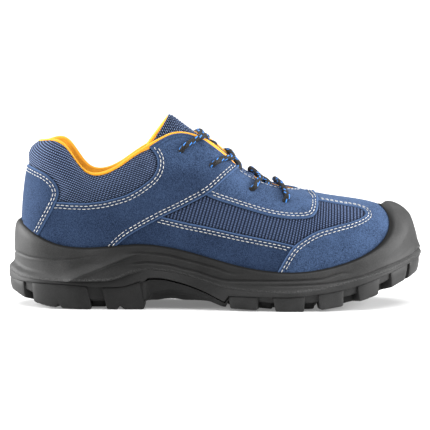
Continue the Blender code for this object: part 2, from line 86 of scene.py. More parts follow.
# The opening's edge at the same sections. lift is how much higher the inner side stands.
OPENING_COLUMNS = ("along", "outer", "inner", "height", "lift")
OPENING = (
    (0.049, 0.000, 0.000, 119.5, 0.0),
    (0.070, 0.184, 0.178, 121.2, -1.8),
    (0.119, 0.281, 0.276, 117.2, 1.2),
    (0.176, 0.335, 0.324, 98.6, 0.0),
    (0.261, 0.357, 0.340, 104.5, -1.5),
    (0.359, 0.275, 0.280, 123.5, -1.0),
    (0.465, 0.189, 0.216, 122.3, 0.0),
    (0.570, 0.157, 0.205, 99.0, 0.0),
    (0.655, 0.135, 0.200, 87.5, 0.0),
    (0.694, 0.086, 0.151, 85.4, 0.0),
    (0.706, 0.022, 0.097, 84.8, 0.0),
    (0.710, -0.038, -0.038, 84.6, 0.0),
)
TOE = len(SECTIONS) - 1
ROUND = 2 * TOE
# About how many millimetres one section and one whole share are, to draw outlines evenly
CHART = np.array((26.0, 100.0))
# Points that a line on the wall is read at
FINE = 200
# Distances of stitch rows from the cut edge
DOUBLE = (2.4, 4.4)
SINGLE = (2.4,)

# Side view of the sole, along the shoe and up: tread, upper edge of the lugs, joint of outsole and
# midsole, and roof of the hollow waist
TREAD_LINE = (
    (-151, 10.5), (-141, 7.0), (-132, 4.4), (-121, 2.0), (-106, 0.5), (-92, 0.0), (-52, 0.0), (-46, 11.0),
    (-32, 13.2), (-18, 10.5), (-5, 6.0), (6, 2.2), (12, 1.7), (30, 0.9), (42, 0.0), (68, 0.0), (77, 1.3),
    (94, 4.0), (107, 7.4), (120, 11.6), (143, 19.8), (152, 23.0),
)
LEDGE_LINE = (
    (-152, 20.0), (-140, 18.5), (-113, 18.0), (-94, 16.6), (-84, 15.6), (-70, 15.8), (-60, 18.0), (-54, 20.0),
    (-30, 15.0), (9, 10.5), (50, 10.0), (75, 12.2), (95, 15.5), (105, 18.0), (122, 23.5), (143, 31.0),
    (152, 34.0),
)
JOINT_LINE = (
    (-152, 26.0), (-140, 22.0), (-110, 20.3), (-80, 20.6), (-70, 22.6), (-60, 26.6), (-48, 28.6), (-29, 26.7),
    (-10, 21.3), (6, 16.6), (22, 14.4), (50, 13.0), (75, 15.5), (100, 21.0), (122, 26.5), (143, 34.0),
    (152, 37.0),
)
WAIST_ROOF = ((-50, 22.5), (-42, 22.7), (-25, 19.5), (-7, 13.0), (3, 8.0), (8, 6.0))


def stack(x: Array | float, y: Array | float, z: Array | float) -> Array:
    """Points from their coordinates, each a number or an array."""
    return np.stack(np.broadcast_arrays(x, y, z), -1).astype(float)


def unit(vectors: Array) -> Array:
    """Vectors of length one."""
    return vectors / np.maximum(np.linalg.norm(vectors, axis=-1, keepdims=True), 1e-9)


def ease(low: float, high: float, value: Array | float) -> Array:
    """Smooth step from 0 at low to 1 at high."""
    b = np.clip((np.asarray(value, float) - low) / (high - low), 0, 1)
    return b * b * (3 - 2 * b)


def hermite(b: Array, first: Array, second: Array, leaving: Array, arriving: Array) -> Array:
    """Smooth way between two values, leaving and arriving at the given slopes, at b from 0 to 1."""
    return ((1 + 2 * b) * (1 - b) ** 2 * first + b * (1 - b) ** 2 * leaving
            + b * b * (3 - 2 * b) * second - b * b * (1 - b) * arriving)


def travelled(points: Array, axis: int = 0) -> Array:
    """Distance from the first point to each one, along an axis of an array of points."""
    steps = np.diff(points, axis=axis, prepend=np.take(points, [0], axis))
    return np.cumsum(np.linalg.norm(steps, axis=-1), axis)


def from_heel(section: Array) -> Array:
    """Number of sections from the heel back, by the nearer side."""
    around = np.mod(section, ROUND)
    return np.minimum(around, ROUND - around)


def best_moves(slope: Array, wanted: Array, damping: float) -> Array:
    """Steps of section and share whose slopes come nearest to the wanted moves, damped to stay short."""
    turned = np.swapaxes(slope, 1, 2)
    return np.linalg.solve(turned @ slope + damping * np.eye(2), turned @ wanted[..., None])[..., 0]


def tree_of(points: Array) -> KDTree:
    """Tree that finds the nearest of the points."""
    tree = KDTree(len(points))
    for i, point in enumerate(points):
        tree.insert(point, i)
    tree.balance()
    return tree


def smooth_table(table: Sequence[Span], x: Array) -> Array:
    """Height from a side view table, eased between its rows without overshooting.

    Args:
        table: Rows of a place along the shoe and a height.
        x: Places to read, held at the table's ends outside it.

    Returns:
        The height at each place.
    """
    xs, zs = np.array(table, float).T
    slope = np.diff(zs) / np.diff(xs)
    turn = np.zeros(len(xs))
    keep = slope[1:] * slope[:-1] > 0
    turn[1:-1][keep] = 2 * slope[1:][keep] * slope[:-1][keep] / (slope[1:] + slope[:-1])[keep]
    x = np.clip(x, xs[0], xs[-1])
    low = np.clip(np.searchsorted(xs, x, "right") - 1, 0, len(xs) - 2)
    run = xs[low + 1] - xs[low]
    b = (x - xs[low]) / run
    return hermite(b, zs[low], zs[low + 1], run * turn[low], run * turn[low + 1])


def spline(points: Array, spacing: float) -> Array:
    """Evenly spaced points on a smooth curve through the given ones.

    Args:
        points: Points that the curve passes, one to a row.
        spacing: Distance between the points of the result.

    Returns:
        Points of the curve, its two ends included.
    """
    points = np.asarray(points, float)
    run = travelled(points)
    slope = np.gradient(points, run, axis=0)
    at = np.linspace(0, run[-1], max(2, round(run[-1] / spacing) + 1))
    low = np.clip(np.searchsorted(run, at, "right") - 1, 0, len(run) - 2)
    step = (run[low + 1] - run[low])[:, None]
    b = (at - run[low])[:, None] / step
    return hermite(b, points[low], points[low + 1], step * slope[low], step * slope[low + 1])


def resample(points: Array, count: int) -> Array:
    """Smooth rows between the given rows.

    Args:
        points: Rows of points, the first axis counting rows.
        count: Number of rows of the result.

    Returns:
        Rows evenly spread over those given.
    """
    slope = np.gradient(points, axis=0)
    at = np.linspace(0, len(points) - 1, count)
    low = np.clip(at.astype(int), 0, len(points) - 2)
    b = (at - low).reshape(-1, *[1] * (points.ndim - 1))
    return hermite(b, points[low], points[low + 1], slope[low], slope[low + 1])


class Side(Enum):
    """Side of the foot."""

    OUTER = "outer"
    INNER = "inner"

    @property
    def other(self) -> "Side":
        """The side that faces this one."""
        return Side.INNER if self is Side.OUTER else Side.OUTER

    def section(self, section: Array | float) -> Array | float:
        """Sections on this side that face those given for the outer side."""
        return section if self is Side.OUTER else ROUND - section

    def spots(self, spots: Array) -> Array:
        """Spots on this side that face those given for the outer side."""
        return np.stack([self.section(spots[..., 0]), spots[..., 1]], -1)


class Loop:
    """Smooth closed curve through one value per section."""

    def __init__(self, values: Array) -> None:
        """Solves the curve's bends, so that slope and bend run on through every section."""
        self.values = np.asarray(values, float)
        count = len(self.values)
        system = 4 * np.eye(count) + np.roll(np.eye(count), 1, 0) + np.roll(np.eye(count), -1, 0)
        second = 6 * (np.roll(self.values, -1) - 2 * self.values + np.roll(self.values, 1))
        self.bend = np.linalg.solve(system, second)

    def __call__(self, section: Array) -> Array:
        """Value at any section number."""
        section = np.mod(section, len(self.values))
        low = np.floor(section).astype(int) % len(self.values)
        high = (low + 1) % len(self.values)
        b = section - np.floor(section)
        a = 1 - b
        return (a * self.values[low] + b * self.values[high]
                + ((a**3 - a) * self.bend[low] + (b**3 - b) * self.bend[high]) / 6)


@dataclass
class Last:
    """Form that the shoe is made on, with the outer face of the upper's wall."""

    length: float = 284.0
    ball_width: float = 92.5
    wall: float = 2.4
    collar_padding: float = 8.0
    # The padding by share, where it sets in and thins out towards the edge, and the sections where it ends
    padding_rise: Span = (0.50, 0.74)
    padding_fall: Span = (0.89, 1.0)
    padding_thinned: float = 0.82
    padding_end: Span = (3.6, 5.2)
    inward_pull: float = 30.0
    sole_flare: float = 9.0
    joint_flare: float = 8.7
    # The suede's upper edge: sections from the heel, and shares
    rim: Line = (
        (0.0, 1.0), (4.2, 1.0), (4.75, 0.988), (5.0, 0.991), (5.25, 1.0), (5.5, 1.004), (5.75, 1.003),
        (6.0, 0.996), (6.25, 0.988), (6.5, 0.985), (7.0, 0.982), (7.5, 0.990), (8.0, 0.990), (9.0, 0.996),
        (11.0, 1.0))
    # The camera's tilt and distance, the height that it looks at and the height at which that is seen
    view_tilt: float = 5.0
    view_distance: float = 2200.0
    view_aim: float = 65.0
    view_base: float = 69.6
    # Grid that a search for spots starts from, its rounds, and its longest step
    search_grid: tuple[int, int] = (265, 81)
    search_rounds: int = 10
    search_step: float = 0.2
    # Steps up the wall and points round the rim that lengths are read at
    climb_steps: int = 65
    rim_points: int = 800

    def __post_init__(self) -> None:
        """Makes the loops of the tables and finds the middle of the sole's width."""
        named = {name: self.column(SECTIONS, i) for i, name in enumerate(SECTION_COLUMNS)}
        edge = {name: self.column(OPENING, i) for i, name in enumerate(OPENING_COLUMNS)}
        self.loops = {name: Loop(named[name]) for name in SECTION_COLUMNS[3:]}
        lift = edge["lift"].copy()
        lift[:TOE + 1] = 0
        for key, table, height in (("foot", named, named["bed"]), ("edge", edge, edge["height"] + lift)):
            self.loops[key + "_x"] = Loop((table["along"] - 0.5) * self.length)
            across = np.where(np.arange(ROUND) <= TOE, -table["outer"], table["inner"])
            self.loops[key + "_y"] = Loop(across * self.ball_width)
            self.loops[key + "_z"] = Loop(height)
        rim = self.foot(np.linspace(0, ROUND, self.rim_points), self.sole_flare)[:, 1]
        self.middle = np.array((0, (rim.min() + rim.max()) / 2, 0))

    @staticmethod
    def column(table: Sequence[tuple[float, ...]], index: int) -> Array:
        """One column of a half loop as a full loop of section values."""
        half = np.array([row[index] for row in table])
        return np.concatenate([half, half[-2:0:-1]])

    def metres(self, points: Array) -> Array:
        """Metres in the shoe's frame, with the middle of the sole's width at Y = 0."""
        return (np.asarray(points) - self.middle) * MM

    def outward(self, section: Array) -> Array:
        """Level unit vectors pointing out of the foot outline."""
        step = 0.01
        dx = self.loops["foot_x"](section + step) - self.loops["foot_x"](section - step)
        dy = self.loops["foot_y"](section + step) - self.loops["foot_y"](section - step)
        size = np.hypot(dx, dy)
        return stack(dy / size, -dx / size, 0)

    def foot(self, section: Array, flare: Array | float = 0.0, height: Array | float | None = None) -> Array:
        """Points on the foot outline, moved out level by flare.

        Args:
            section: Section numbers.
            flare: Distance out of the outline.
            height: Height of the points, or None for the last's bottom edge.

        Returns:
            The points.
        """
        level = self.loops["bed"](section) if height is None else height
        base = stack(self.loops["foot_x"](section), self.loops["foot_y"](section), level)
        return base + np.asarray(flare)[..., None] * self.outward(section)

    def wall_point(self, section: Array, share: Array) -> Array:
        """Points on the outer face of the upper's wall.

        Args:
            section: Section numbers.
            share: Shares of the way up the wall.

        Returns:
            The points, in the joint shape of both.
        """
        section, share = np.broadcast_arrays(np.asarray(section, float), np.asarray(share, float))
        foot = self.foot(section)
        edge = stack(*(self.loops["edge_" + axis](section) for axis in "xyz"))
        out = self.outward(section)
        inward = unit((edge - foot) * (1, 1, 0) - self.inward_pull * out)
        lean = np.radians(self.loops["lean"](section))[..., None]
        bulge, rise, crown = (self.loops[name](section)[..., None] for name in ("bulge", "rise", "crown"))
        low = foot + bulge * out + rise * UP
        high = edge - crown * (np.cos(lean) * inward + np.sin(lean) * UP)
        b = share[..., None]
        a = 1 - b
        return a**3 * foot + 3 * a * a * b * low + 3 * a * b * b * high + b**3 * edge

    def slopes(self, section: Array, share: Array) -> tuple[Array, Array]:
        """How the wall's points move for one section and for one share."""
        step = 0.004
        share = np.clip(share, step, 1 - step)
        along = self.wall_point(section + step, share) - self.wall_point(section - step, share)
        upward = self.wall_point(section, share + step) - self.wall_point(section, share - step)
        return along / (2 * step), upward / (2 * step)

    def normal(self, section: Array, share: Array) -> Array:
        """Unit vectors out of the wall."""
        return unit(np.cross(*self.slopes(section, share)))

    def place(self, section: Array, share: Array, height: Array | float) -> Array:
        """Points at a height over the wall's outer face."""
        section, share, height = np.broadcast_arrays(section, share, height)
        return self.wall_point(section, share) + height[..., None] * self.normal(section, share)

    def share_at(self, section: Array, climb: Array) -> Array:
        """Shares reached after climbing that far from the bottom edge.

        Args:
            section: Section numbers, one to a column.
            climb: Distances along the wall, with those columns on the last axis.

        Returns:
            Shares in the shape of climb.
        """
        steps = np.linspace(0, 1, self.climb_steps)
        reached = travelled(self.wall_point(section[:, None], steps[None, :]), 1)
        return np.stack([np.interp(climb[..., i], row, steps) for i, row in enumerate(reached)], -1)

    def cover_share(self, section: Array, part: float = 1.0) -> Array:
        """Shares at a part of the way up to the sole's lip."""
        section = np.atleast_1d(np.asarray(section, float))
        return self.share_at(section, part * self.loops["cover"](section))

    def joint_height(self, section: Array) -> Array:
        """Height of the joint of midsole and outsole."""
        return smooth_table(JOINT_LINE, self.foot(section, self.joint_flare)[..., 0])

    def thickness(self, section: Array, share: Array) -> Array:
        """Thickness of the wall with its lining, and the padding round the collar."""
        thinned = self.padding_thinned * ease(*self.padding_fall, share)
        padding = ease(*self.padding_rise, share) * (1 - thinned)
        return self.wall + self.collar_padding * (1 - ease(*self.padding_end, from_heel(section))) * padding

    def rim_share(self, section: Array) -> Array:
        """Shares of the suede's upper edge, which arches over the flaps and dips along the throat."""
        return smooth_table(self.rim, from_heel(section))

    def seen(self, points: Array) -> Array:
        """Place along the shoe and height as the camera at the outer side sees them."""
        tilt = math.radians(self.view_tilt)
        away = points[..., 1] - self.middle[1]
        rise = points[..., 2] - self.view_aim
        depth = self.view_distance + away * math.cos(tilt) - rise * math.sin(tilt)
        scale = self.view_distance / depth
        height = self.view_base + (rise * math.cos(tilt) + away * math.sin(tilt)) * scale
        return np.stack([points[..., 0] * scale, height], -1)

    def find(self, project: Callable[[Array], Array], targets: Array) -> Array:
        """Spots on the outer side whose flat picture meets the targets.

        Args:
            project: Turns points of the wall into flat coordinates in millimetres.
            targets: Flat coordinates to meet.

        Returns:
            One spot for each target.
        """
        targets = np.asarray(targets, float)
        columns, rows = self.search_grid
        grid = np.meshgrid(np.linspace(0, TOE, columns), np.linspace(0, 1, rows))
        start = np.stack(grid, -1).reshape(-1, 2)
        tree = tree_of(stack(*project(self.wall_point(*start.T)).T, 0))
        spots = start[[tree.find((x, y, 0))[1] for x, y in targets]]
        step, damping = 1e-4, 1e-3
        for _ in range(self.search_rounds):
            here = project(self.wall_point(*spots.T))
            slopes = [(project(self.wall_point(*(spots + move).T)) - here) / step
                      for move in ((step, 0), (0, step))]
            move = best_moves(np.stack(slopes, -1), targets - here, damping)
            spots = spots + np.clip(move, -self.search_step, self.search_step)
            spots = np.clip(spots, (0, 0), (TOE, 1))
        return spots

    def spots_seen(self, outline: Sequence[Span]) -> Array:
        """Spots of an outline that is measured in the side view."""
        return self.find(self.seen, np.array(outline))

    def ridge_share(self, x: float) -> float:
        """Share on the middle line of the vamp at a place along the shoe."""
        steps = np.linspace(0.4, 1, FINE)
        line = self.wall_point(np.full(FINE, float(TOE)), steps)[:, 0]
        return float(np.interp(-x, -line, steps))

    def heel_share(self, height: float) -> float:
        """Share on the middle line of the heel at a height."""
        steps = np.linspace(0, 1, FINE)
        return float(np.interp(height, self.wall_point(np.zeros(FINE), steps)[:, 2], steps))


def loft(points: Array, uv: Array | None = None, marks: dict[str, Array] | None = None,
         weld: float = 1e-7) -> Shape:
    """Grid whose corners are moved to the given points, with coinciding edges and poles welded.

    Args:
        points: Points by column and row.
        uv: Flat coordinates by column and row, kept as the UV map.
        marks: Named values by column and row, kept with the corners.
        weld: Distance within which corners become one.

    Returns:
        The mesh. It is closed where its last column or row repeats the first.
    """
    columns, rows = points.shape[:2]
    shape = bmesh.new()
    map_layer = shape.loops.layers.uv.new("UVMap")
    layers = {name: shape.verts.layers.float.new(name) for name in marks or {}}
    bmesh.ops.create_grid(shape, x_segments=columns - 1, y_segments=rows - 1, size=1)
    corners = sorted(shape.verts, key=lambda v: (round((v.co.x + 1) * (columns - 1)), v.co.y))
    flat = points.reshape(-1, 3)
    spread = None if uv is None else uv.reshape(-1, 2)
    for i, corner in enumerate(corners):
        corner.co = flat[i]
        for name, layer in layers.items():
            corner[layer] = marks[name].flat[i]
        if spread is not None:
            for loop in corner.link_loops:
                loop[map_layer].uv = spread[i]
    bmesh.ops.remove_doubles(shape, verts=shape.verts, dist=weld)
    bmesh.ops.dissolve_degenerate(shape, edges=shape.edges, dist=weld)
    return shape


def closed(points: Array) -> Array:
    """Columns with the first one repeated last."""
    return np.concatenate([points, points[:1]])


def wrapped(front: Array, back: Array) -> Array:
    """Columns of a face, followed by those of its back in reverse and closed into rings."""
    return np.concatenate([front, back[:, ::-1], front[:, :1]], 1)


def seal(shape: Shape) -> None:
    """Fills the open ends of a mesh and turns its faces outwards."""
    bmesh.ops.holes_fill(shape, edges=[e for e in shape.edges if e.is_boundary], sides=0)
    bmesh.ops.recalc_face_normals(shape, faces=shape.faces)


def cut_across(shape: Shape, parts: list[Any], axis: int, place: float, snap: float) -> None:
    """Cuts parts of a mesh at a place on an axis, with corners within snap counting as on the cut."""
    point, across = Vector((0, 0, 0)), Vector((0, 0, 0))
    point[axis], across[axis] = place, 1
    bmesh.ops.bisect_plane(shape, geom=parts, dist=snap, plane_co=point, plane_no=across)


def finished(shape: Shape, name: str) -> bpy.types.Mesh:
    """Mesh that is ready for an object, from a worked one, which is freed."""
    mesh = bpy.data.meshes.new(name)
    shape.to_mesh(mesh)
    shape.free()
    return mesh


def add(name: str, content: bpy.types.ID) -> Piece:
    """New object in the scene, of a mesh, a light or a lens."""
    thing = bpy.data.objects.new(name, content)
    bpy.context.scene.collection.objects.link(thing)
    return thing


@dataclass(frozen=True)
class Dress:
    """How a mesh is coloured, and the angle from which its edges are sharp."""

    slot: str
    materials: tuple[Material, ...]
    replaces: tuple[str, ...] = ()
    sharp: float = 50.0

    def piece(self, shape: Shape, name: str) -> Piece:
        """Object of a mesh, riding on the shoe.

        Args:
            shape: Mesh in metres, which is freed.
            name: Name of the piece.

        Returns:
            The object.
        """
        mesh = finished(shape, name)
        mesh.shade_smooth()
        mesh.set_sharp_from_angle(angle=math.radians(self.sharp))
        for material in self.materials:
            mesh.materials.append(material)
        piece = add(name, mesh)
        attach(piece, "root")
        if self.replaces:
            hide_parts(*self.replaces)
        LOG.info("%s: %d faces", name, len(mesh.polygons))
        return piece


class Signal:
    """Value of a shader's socket that Python's operators work on."""

    def __init__(self, shader: "Shader", socket: bpy.types.NodeSocket) -> None:
        """Keeps the socket and the shader that it belongs to."""
        self.shader = shader
        self.socket = socket

    def __add__(self, other: "Signal | float") -> "Signal":
        """Sum."""
        return self.shader.math("ADD", self, other)

    __radd__ = __add__

    def __mul__(self, other: "Signal | float") -> "Signal":
        """Product."""
        return self.shader.math("MULTIPLY", self, other)

    __rmul__ = __mul__

    def __sub__(self, other: "Signal | float") -> "Signal":
        """Difference."""
        return self.shader.math("SUBTRACT", self, other)

    def __rsub__(self, other: float) -> "Signal":
        """Difference from a number."""
        return self.shader.math("SUBTRACT", other, self)

    def __truediv__(self, other: "Signal | float") -> "Signal":
        """Quotient."""
        return self.shader.math("DIVIDE", self, other)

    def wave(self) -> "Signal":
        """Wave from 0 to 1, at 1 on whole numbers."""
        return self.shader.math("COSINE", self * math.tau) * 0.5 + 0.5

    def whole(self) -> "Signal":
        """Whole number below."""
        return self.shader.math("FLOOR", self)

    def size(self) -> "Signal":
        """Value without its sign."""
        return self.shader.math("ABSOLUTE", self)

    def fraction(self) -> "Signal":
        """Part above the whole number below."""
        return self.shader.math("FRACT", self)

    def ramp(self, low: float, high: float) -> "Signal":
        """Smooth step from 0 at low to 1 at high."""
        node = self.shader.node("ShaderNodeMapRange", {"interpolation_type": "SMOOTHSTEP"},
                                {0: self, 1: low, 2: high, 3: 0.0, 4: 1.0})
        return Signal(self.shader, node.outputs[0])


class Shader:
    """Material whose nodes are written as expressions."""

    def __init__(self, name: str) -> None:
        """Starts a material with its surface shader and nothing else."""
        self.material = bpy.data.materials.new(name)
        self.material.use_nodes = True
        self.tree = self.material.node_tree
        self.surface = self.tree.nodes["Principled BSDF"]

    def node(self, kind: str, settings: dict[str, Any] | None = None,
             sockets: dict[str | int, Any] | None = None) -> bpy.types.Node:
        """Any node.

        Args:
            kind: Type of the node.
            settings: Properties, which are set first.
            sockets: Values or links by the socket's name or number.

        Returns:
            The node.
        """
        node = self.tree.nodes.new(kind)
        for key, value in (settings or {}).items():
            setattr(node, key, value)
        for key, value in (sockets or {}).items():
            self.feed(node.inputs[key], value)
        return node

    def feed(self, socket: bpy.types.NodeSocket, value: Any) -> None:
        """Links a signal to a socket, or sets a number or colour on it."""
        if isinstance(value, Signal):
            self.tree.links.new(value.socket, socket)
        elif socket.type == "RGBA":
            socket.default_value = (*value, 1.0)
        else:
            socket.default_value = value

    def set(self, **values: Any) -> None:
        """Feeds the surface shader's sockets, an underscore standing for a space."""
        names = {name.lower().replace(" ", "_"): name for name in self.surface.inputs.keys()}
        for key, value in values.items():
            self.feed(self.surface.inputs[names[key]], value)

    def math(self, operation: str, *values: Signal | float) -> Signal:
        """Result of a Math node on values."""
        node = self.node("ShaderNodeMath", {"operation": operation}, dict(enumerate(values)))
        return Signal(self, node.outputs[0])

    def object_place(self) -> Signal:
        """Place on the object, in metres."""
        return Signal(self, self.node("ShaderNodeTexCoord").outputs["Object"])

    def axis(self, place: Signal, number: int) -> Signal:
        """One coordinate of a place."""
        return Signal(self, self.node("ShaderNodeSeparateXYZ", None, {0: place}).outputs[number])

    def flat_place(self) -> tuple[Signal, Signal]:
        """The two coordinates of the piece's own UV map."""
        flat = self.node("ShaderNodeUVMap", {"uv_map": "UVMap"})
        parts = self.node("ShaderNodeSeparateXYZ", None, {0: Signal(self, flat.outputs[0])})
        return Signal(self, parts.outputs[0]), Signal(self, parts.outputs[1])

    def mark(self, name: str) -> Signal:
        """Named value that is kept with the piece's corners."""
        node = self.node("ShaderNodeAttribute", {"attribute_name": name})
        return Signal(self, node.outputs["Fac"])

    def noise(self, place: Signal, scale: float, detail: float = 2.0, rough: float = 0.5) -> Signal:
        """Soft noise around one half, with scale bumps to a metre and finer layers on them."""
        node = self.node("ShaderNodeTexNoise", None, {
            "Vector": place, "Scale": scale, "Detail": detail, "Roughness": rough})
        return Signal(self, node.outputs[0])

    def mix(self, first: Signal | Colour, second: Signal | Colour, factor: Signal) -> Signal:
        """Colour between two colours."""
        node = self.node("ShaderNodeMix", {"data_type": "RGBA"}, {0: factor, 6: first, 7: second})
        return Signal(self, node.outputs[2])

    def bump(self, height: Signal, distance: float, strength: float = 1.0) -> None:
        """Roughens the surface by a height whose 1 is a distance in millimetres."""
        node = self.node("ShaderNodeBump", None, {
            "Strength": strength, "Distance": distance * MM, "Height": height})
        self.set(normal=Signal(self, node.outputs[0]))


@dataclass(frozen=True)
class Suede:
    """Blue split leather with a short nap and a paler cut edge."""

    name: str = "blue_suede"
    dark: Colour = (0.0057, 0.0113, 0.0280)
    light: Colour = (0.0460, 0.0780, 0.1530)
    cut: Colour = (0.0520, 0.0900, 0.1760)
    nap_scale: float = 1300.0
    fibre_scale: float = 1900.0
    patch_scale: float = 45.0
    tones: Span = (0.29, 0.71)
    sheen: Colour = (0.50, 0.68, 0.95)

    def make(self) -> Material:
        """Material with brushed patches, fibres, a paler edge, darker seams and painted light and shade from
        each panel's mark.
        """
        shader = Shader(self.name)
        place = shader.object_place()
        nap_and_painted_light = shader.noise(place, self.nap_scale, 3, 0.6)
        fibre = shader.noise(place, self.fibre_scale, 1)
        patch = shader.noise(place, self.patch_scale, 2)
        tone = (nap_and_painted_light * 0.65 + fibre * 0.35 + patch * 0.18 - 0.09).ramp(*self.tones)
        edge = shader.mark("edge")
        seam = sum((1 - (edge - row).size().ramp(0.1, 0.9) for row in DOUBLE), 0.0)
        # Painted light and shade: the panel's mark lightens or darkens its tone, as the light falls on it
        colour = shader.mix(self.dark, self.light, tone * shader.mark("nap_and_painted_light") * (1 - seam * 0.35))
        rim = (1 - edge.ramp(0.55, 1.3)) * (0.55 + nap_and_painted_light * 0.5)
        shader.set(base_color=shader.mix(colour, self.cut, rim), roughness=0.92, sheen_weight=0.07,
                   sheen_roughness=0.5, sheen_tint=self.sheen, specular_ior_level=0.06)
        shader.bump(nap_and_painted_light * 0.6 + fibre * 0.4, 0.28, 0.8)
        return shader.material


@dataclass(frozen=True)
class RibbedMesh:
    """Navy knitted mesh: staggered pale loops on ribs with dark holes, one rib and one loop to a map unit."""

    name: str
    rib: Colour
    valley: Colour
    hole: Colour = (0.001, 0.0015, 0.004)
    sheen: Colour = (0.5, 0.65, 0.95)
    fuzz_scale: float = 1800.0

    def make(self) -> Material:
        """Material with the ribs' loops, the holes between them, a little fuzz and painted shade where it
        meets the suede.
        """
        shader = Shader(self.name)
        across, along = shader.flat_place()
        place = shader.object_place()
        crest = across.wave()
        row = (across + 0.5).whole()
        lean = ((across + 0.5).fraction() - 0.5) * (1 - (row * 0.5).fraction() * 4)
        loops = (along + row * 0.5 + lean * 0.7).wave()
        dash = crest.ramp(0.10, 0.75) * loops.ramp(0.12, 0.72)
        hole = (1 - crest.ramp(0.15, 0.70)) * loops.ramp(0.0, 0.5)
        fuzz = shader.noise(place, self.fuzz_scale, 2)
        tone = (dash * 0.85 + crest * 0.15 - 0.4) * shader.mark("deep") + fuzz * 0.4 + 0.2
        colour = shader.mix(self.valley, self.rib, tone)
        # Painted shade: the mesh darkens towards the hole colour along the suede's edges
        dark = (hole * 0.8 + shader.mark("painted_shade") * 0.85).ramp(0.0, 1.0)
        shader.set(base_color=shader.mix(colour, self.hole, dark), roughness=0.85, sheen_weight=0.03,
                   sheen_tint=self.sheen, specular_ior_level=0.10)
        shader.bump(dash * 0.7 + fuzz * 0.3 - hole * 0.5, 0.5, 0.9)
        return shader.material


@dataclass(frozen=True)
class KnitLining:
    """Yellow knitted lining, its map in millimetres."""

    name: str = "yellow_lining"
    light: Colour = (0.66, 0.310, 0.022)
    dark: Colour = (0.61, 0.220, 0.010)
    sheen: Colour = (1.0, 0.8, 0.4)
    stitch: float = 1.3
    fuzz_scale: float = 1500.0

    def make(self) -> Material:
        """Material with small knitted loops."""
        shader = Shader(self.name)
        across, along = shader.flat_place()
        place = shader.object_place()
        row = (along / self.stitch).whole()
        loops = (across / self.stitch + row * 0.5).wave() * (along / self.stitch).wave()
        fuzz = shader.noise(place, self.fuzz_scale, 2)
        tone = (loops * 0.5 + fuzz * 0.7).ramp(0.1, 0.75)
        shader.set(base_color=shader.mix(self.dark, self.light, tone), roughness=0.9, sheen_weight=0.25,
                   sheen_tint=self.sheen, specular_ior_level=0.15)
        shader.bump(loops * 0.6 + fuzz * 0.4, 0.25, 0.7)
        return shader.material


@dataclass(frozen=True)
class SoleRubber:
    """Moulded black-grey sole with a fine grain and a stippled strip along the joint."""

    name: str
    base: Colour
    bright: Colour
    # Ends of the painted shade along the middle of the sole: where it begins and is full, then where it is
    # full and ends
    painted_mid_shade: tuple[float, float, float, float]
    painted_mid_shade_depth: float
    roughness: float = 0.44
    dots: Colour = (0.11, 0.11, 0.11)
    # Colour that the painted shade darkens towards
    shade: Colour = (0.003, 0.003, 0.003)
    grain_scale: float = 1500.0
    cloud_scale: float = 35.0
    stipple_scale: float = 1300.0

    def make(self) -> Material:
        """Material with grain, painted shade along the middle of the sole, a stippled strip and a painted
        shade band at the edge against the upper.
        """
        shader = Shader(self.name)
        place = shader.object_place()
        grain = shader.noise(place, self.grain_scale, 3, 0.6)
        cloud = shader.noise(place, self.cloud_scale, 3)
        stipple = shader.noise(place, self.stipple_scale, 0).ramp(0.45, 0.62) * shader.mark("strip")
        # Painted shade band against the upper
        painted_shade = shader.mark("painted_shade")
        along = shader.axis(place, 0)
        first, full, fading, end = (spot * MM for spot in self.painted_mid_shade)
        # Painted shade along the middle of the sole
        painted_mid_shade = along.ramp(first, full) * (1 - along.ramp(fading, end)) * self.painted_mid_shade_depth
        tone = (cloud * 0.6 + grain * 0.5).ramp(0.3, 0.85)
        colour = shader.mix(shader.mix(self.base, self.bright, tone), self.dots, stipple * 0.3)
        dark = 1 - (1 - painted_mid_shade) * (1 - painted_shade * 0.9)
        shader.set(base_color=shader.mix(colour, self.shade, dark), specular_ior_level=0.15,
                   roughness=self.roughness + grain * 0.10 + cloud * 0.10 + painted_shade * 0.3)
        shader.bump(grain * 0.25 + stipple * 1.6, 0.25, 0.6)
        return shader.material


@dataclass(frozen=True)
class SewingThread:
    """Off-white twisted thread."""

    name: str = "white_thread"
    light: Colour = (0.60, 0.59, 0.56)
    dark: Colour = (0.22, 0.23, 0.25)
    fuzz_scale: float = 1600.0

    def make(self) -> Material:
        """Material with the thread's fibres."""
        shader = Shader(self.name)
        fuzz = shader.noise(shader.object_place(), self.fuzz_scale, 2)
        shader.set(base_color=shader.mix(self.dark, self.light, fuzz.ramp(0.25, 0.6)), roughness=0.75,
                   sheen_weight=0.2)
        shader.bump(fuzz, 0.12)
        return shader.material


